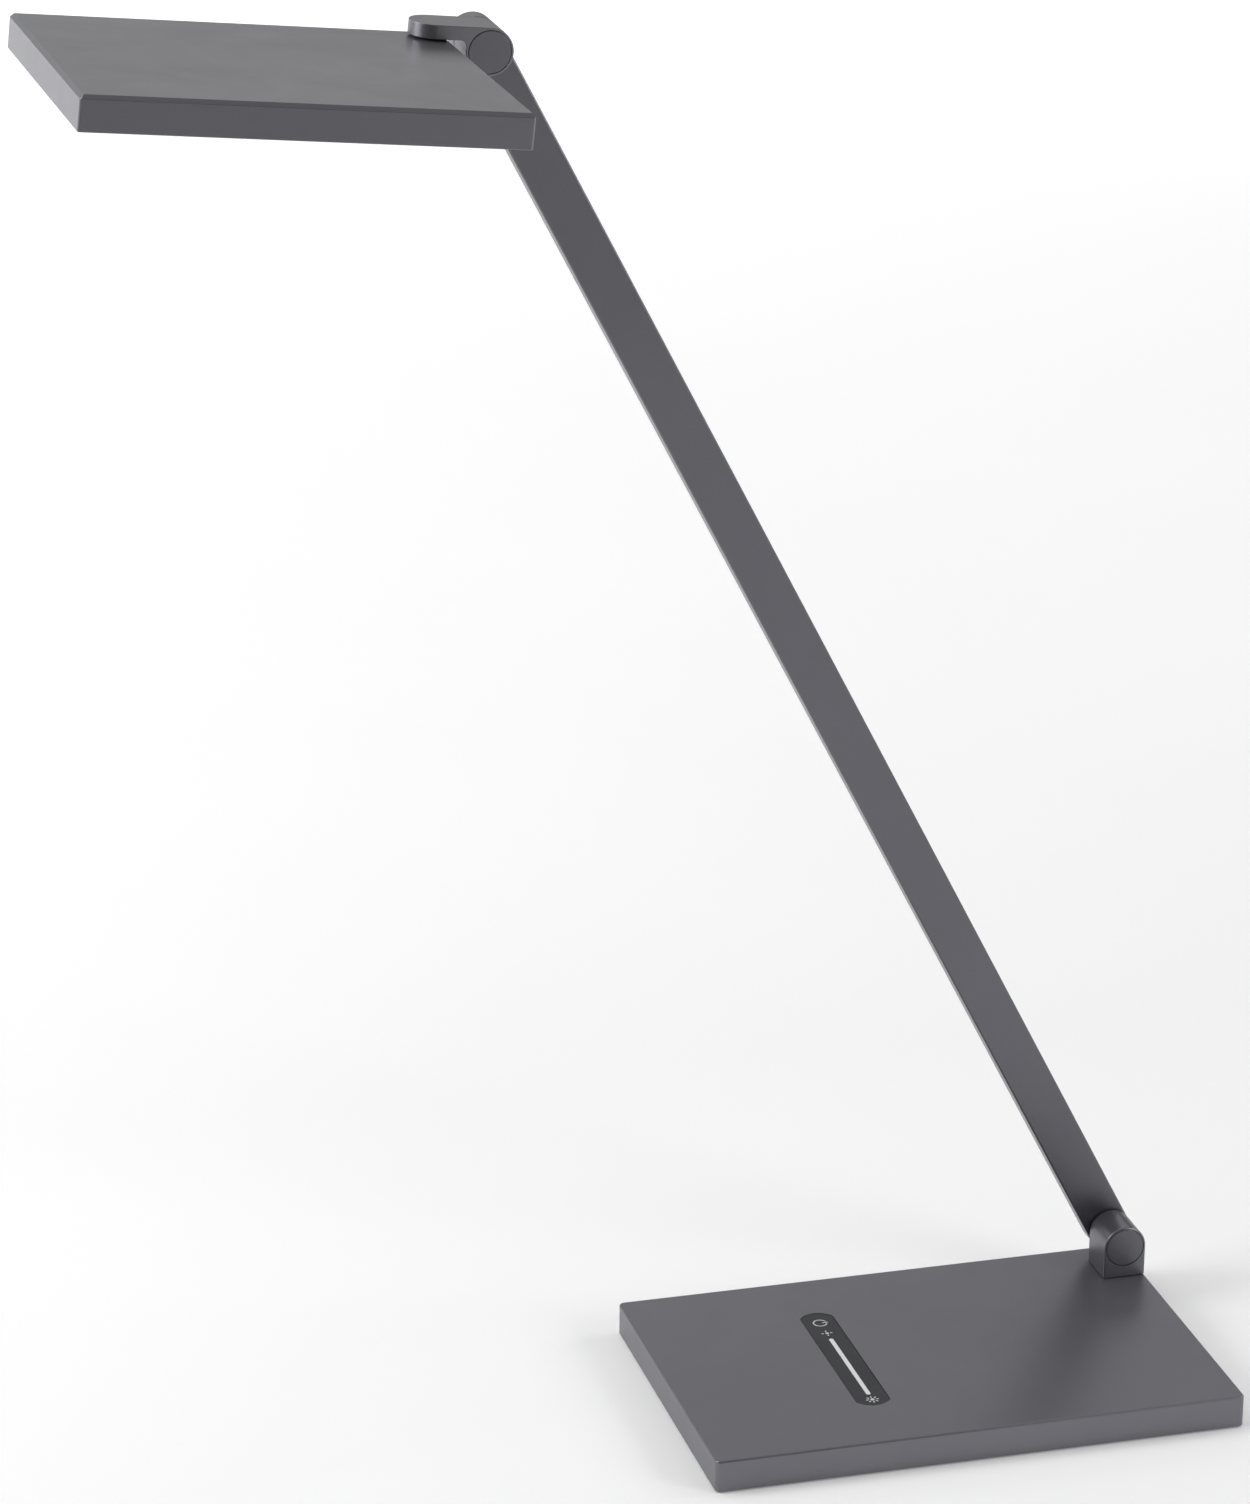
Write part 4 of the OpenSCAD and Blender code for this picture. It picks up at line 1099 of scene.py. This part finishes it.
RING_R, RING_GAP, RING_BAR_X, RING_BAR_L = 2.7, 1.8, 0.8, 2.3
half_gap = asin(RING_GAP / 2 / RING_R)
ring_line = tree.node(
    "GeometryNodeCurveArc",
    Resolution=48,
    Radius=tree.size("Ring", (RING_R - MARK_LINE / 2) * MM),
    Start_Angle=half_gap,
    Sweep_Angle=2 * (pi - half_gap),
).outputs["Curve"]
section = tree.node(
    "GeometryNodeCurvePrimitiveQuadrilateral", Width=line_w, Height=mark_t
).outputs[0]
ring_mesh = tree.node(
    "GeometryNodeCurveToMesh", Curve=ring_line, Profile_Curve=section, Fill_Caps=True
).outputs[0]
bar = tree.node(
    "GeometryNodeMeshCube", Size=tree.vector(RING_BAR_L * MM, line_w, mark_t)
).outputs["Mesh"]
marks = tree.join(
    moved(ring_mesh, RING_Y),
    moved(bar, RING_Y, RING_BAR_X + RING_BAR_L / 2),
    sun("Dim", DIM_Y, 0.65, 1.2, 2.1, 4),
    sun("Bright", BRIGHT_Y, 0.75, 1.3, 2.4, 8),
)
keep(crisp(tree.make(marks, mark_ink)), "base", "marks", None, "touch_marks")

# ---- Underside ----

MAT_INSET, STUD_R, STUD_H, STUD_PITCH = 1.2, 0.8, 0.4, 4.4
STUDS_X, STUDS_Y = 41, 26
mat_rect = rect_outline(
    -IN_X + MAT_INSET, IN_X - MAT_INSET, -IN_Y + MAT_INSET, IN_Y - MAT_INSET, 3.0, 8
)
mat = slab("grip_mat", mat_rect, round_levels(STUD_H - 0.1, MAT_T, 0.3, 0.1, 3))
combine(mat, [rod(HEAD_CLEAR_R, -PAST, MAT_T + PAST, x, y) for x, y in boss_points])
soften(mat, 0.12, 50, 2)
tree = Tree("grip_mat", "Pad")
stud_pitch = tree.size("Pitch", STUD_PITCH * MM)
grid = tree.node(
    "GeometryNodeMeshGrid",
    Size_X=tree.sum("MULTIPLY", stud_pitch, STUDS_X - 1.0),
    Size_Y=tree.sum("MULTIPLY", stud_pitch, STUDS_Y - 1.0),
    Vertices_X=STUDS_X,
    Vertices_Y=STUDS_Y,
).outputs["Mesh"]
stud = tree.node(
    "GeometryNodeMeshCone",
    Vertices=8,
    Radius_Top=tree.size("Stud root", STUD_R * MM),
    Radius_Bottom=tree.size("Stud tip", STUD_R * 0.6 * MM),
    Depth=tree.size("Stud height", STUD_H * MM),
).outputs["Mesh"]
# Only the studs that have the pad above them are kept
above = tree.node(
    "GeometryNodeRaycast", Target_Geometry=tree.host, Ray_Direction=(0.0, 0.0, 1.0)
)
kept_points = tree.node(
    "GeometryNodeSeparateGeometry", Geometry=grid, Selection=above.outputs["Is Hit"]
).outputs["Selection"]
studs = tree.on_points(kept_points, stud)
mat = crisp(tree.make(tree.join(tree.host, studs), rubber, mat))
keep(mat, "base", "mat_rubber", None, "anti_slip_mat")

cover_x, cover_y = IN_X - SEAT_GAP, IN_Y - SEAT_GAP
cover_rect = rect_outline(-cover_x, cover_x, -cover_y, cover_y, CAVITY_CORNER, 4)
cover = slab("foot_plate", cover_rect, round_levels(MAT_T, COVER_TOP, 0.25, 0.1, 3))
combine(
    cover,
    [rod(THROUGH_R, MAT_T - PAST, COVER_TOP + PAST, x, y, steps=24) for x, y in boss_points],
)
soften(cover, 0.1, 50, 2)
keep(cover, "base", "cover_steel", cover_finish, "base_cover")

# ---- Power inlet ----

JACK_W, JACK_D, SOCKET_R, SOCKET_L, JACK_BACK = 9.0, 13.0, 2.75, 9.5, 0.2
NOSE_EDGE, CONTACT_R, CONTACT_TIP_R, CONTACT_TIP_L, CONTACT_DROP = 0.3, 0.95, 0.6, 0.4, 0.9
jack_h = ROOF_Z - COVER_TOP - 0.6
jack_y = IN_Y - FIT
nose_end = BASE_D / 2 - JACK_BACK
jack_rect = rect_outline(
    JACK_X - JACK_W / 2, JACK_X + JACK_W / 2, jack_y - JACK_D, jack_y, 0.4, 3
)
jack = slab(
    "power_jack", jack_rect, round_levels(JACK_Z - jack_h / 2, JACK_Z + jack_h / 2, 0.3, 0.3, 2)
)
nose = turned(
    "nose",
    [
        (AXIS_R, -nose_end),
        (SOCKET_R, -nose_end),
        (JACK_R - NOSE_EDGE, -nose_end),
        (JACK_R, -nose_end + NOSE_EDGE),
        (JACK_R, -IN_Y + PAST),
        (AXIS_R, -IN_Y + PAST),
    ],
    shift(JACK_X, 0, JACK_Z) @ UPRIGHT,
    48,
)
combine(jack, [nose], "UNION")
combine(jack, [front_rod(SOCKET_R, nose_end - SOCKET_L, nose_end + PAST, x=JACK_X, z=JACK_Z)])
soften(jack, 0.12, 50, 2)
keep(jack, "base", "dark_plastic", dark_plastic, "dc_jack")
contact_tip, contact_root = CONTACT_DROP - nose_end, SOCKET_L - nose_end
contact = turned(
    "jack_pin",
    [
        (AXIS_R, contact_tip),
        (CONTACT_TIP_R, contact_tip),
        (CONTACT_R, contact_tip + CONTACT_TIP_L),
        (CONTACT_R, contact_root),
        (AXIS_R, contact_root),
    ],
    shift(JACK_X, 0, JACK_Z) @ UPRIGHT,
    24,
)
keep(crisp(contact), "base", "brass", brass)

# ---- CAD nodes that are kept, with their finishes ----

NODE_FINISHES = {
    "block_gasket": rubber,
    "ballast_plate": ballast_steel,
    "touch_board": board_finish,
    "control_board": board_finish,
    "led_boards": board_finish,
    "board_parts": parts_finish,
    "lower_thrust_washer": dark_plastic,
    "upper_thrust_washer": dark_plastic,
    "swivel_washer": dark_plastic,
    "lower_friction_washer": brass,
    "upper_friction_washer": brass,
    "lower_spring_washers": brass,
    "upper_spring_washers": brass,
    "swivel_spring_washer": brass,
    "arm_cable": cable_finish,
    "light_guide": acrylic,
    "reflector_sheet": white_film,
}
for name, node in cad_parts.items():
    finish = NODE_FINISHES.get(name, steel)
    node.data.materials.clear()
    node.data.materials.append(finish)

# ---- Floor, light and camera ----

FLOOR_REACH = 12.0
floor_corners = [
    (sx * FLOOR_REACH, sy * FLOOR_REACH, 0) for sx, sy in ((-1, -1), (1, -1), (1, 1), (-1, 1))
]
floor_mesh = bpy.data.meshes.new("floor")
floor_mesh.from_pydata(floor_corners, [], [(0, 1, 2, 3)])
floor = bpy.data.objects.new("floor", floor_mesh)
bpy.context.scene.collection.objects.link(floor)
pale = Finish("pale floor", 0.6, Emission_Color=(1, 1, 1, 1))
pale.feed(
    "Base Color",
    pale.ramp(pale.noise(3.0, 2.0), [(0.3, shaded(WHITE, 0.09)), (0.7, shaded(WHITE, 0.07))]),
)
# The floor glows more the farther it is, so that it stays as pale as it is under the lamp
spot = pale.node("ShaderNodeSeparateXYZ")
pale.link(pale.place, spot.inputs[0])
distance = pale.node("ShaderNodeVectorMath", operation="LENGTH")
pale.link(pale.place, distance.inputs[0])
behind = pale.span(spot.outputs["Y"], 0.11, 0.72, 0.3, 2.4)
around = pale.span(distance.outputs["Value"], 0.0, 0.4, 1.8, 3.6)
pale.feed("Emission Strength", pale.sum_of((behind, 1.0), (around, 1.0)))
floor_mesh.materials.append(pale.material)

world = bpy.data.worlds.new("studio")
world.use_nodes = True
world.node_tree.nodes["Background"].inputs["Color"].default_value = (1.0, 1.0, 1.0, 1)
world.node_tree.nodes["Background"].inputs["Strength"].default_value = 0.05
bpy.context.scene.world = world


def softbox(name, place, aim, width, height, power):
    """Rectangular studio light at place, in metres, facing aim."""
    lamp = bpy.data.lights.new(name, "AREA")
    lamp.shape = "RECTANGLE"
    lamp.size, lamp.size_y = width, height
    lamp.energy = power
    light = bpy.data.objects.new(name, lamp)
    light.location = place
    light.visible_camera = False
    light.rotation_mode = "QUATERNION"
    light.rotation_quaternion = (Vector(aim) - Vector(place)).to_track_quat("-Z", "Y")
    bpy.context.scene.collection.objects.link(light)


LAMP_MIDDLE = (0, 0, 0.25)
softbox("wide overhead", (0.3, 1.2, 3.2), (0.3, 1.2, 0), 5.0, 4.0, 42)
softbox("left", (-1.5, 0.1, 0.9), LAMP_MIDDLE, 0.8, 0.6, 12)
softbox("backdrop wash", (0.5, 3.6, 1.6), (0.4, 2.0, 0), 3.5, 1.6, 13)
softbox("right front", (1.2, -1.1, 0.8), LAMP_MIDDLE, 0.8, 0.8, 9.5)
softbox("right", (1.5, 0.1, 0.9), LAMP_MIDDLE, 0.8, 0.8, 7.5)
softbox("left rear", (-1.1, 1.1, 0.8), LAMP_MIDDLE, 0.9, 0.7, 3)
softbox("upper left", (-0.9, 0.2, 1.4), (-0.1, 0.1, 0.2), 0.8, 0.8, 4.5)

# The camera's direction: turned from straight ahead, looking down, and rolled
YAW, PITCH, ROLL = radians(15.7085), radians(20.5616), radians(-0.5259)
CAMERA_PLACE, CAMERA_LENS = (-0.5814, -1.6489, 0.9009), 126.27
heading = Vector((sin(YAW), cos(YAW), 0))
level = Vector((cos(YAW), -sin(YAW), 0))
forward = heading * cos(PITCH) - Vector((0, 0, sin(PITCH)))
down = -(heading * sin(PITCH) + Vector((0, 0, cos(PITCH))))
right = level * cos(ROLL) + down * sin(ROLL)
below = down * cos(ROLL) - level * sin(ROLL)
camera_data = bpy.data.cameras.new("camera")
camera_data.sensor_width = 36.0
camera_data.lens = CAMERA_LENS
camera_data.clip_start, camera_data.clip_end = 0.05, 60.0
camera = bpy.data.objects.new("camera", camera_data)
axes = Matrix((right, -below, -forward)).transposed()
camera.matrix_world = Matrix.Translation(CAMERA_PLACE) @ axes.to_4x4()
bpy.context.scene.collection.objects.link(camera)
bpy.context.scene.camera = camera
bpy.context.scene.view_settings.view_transform = "Standard"
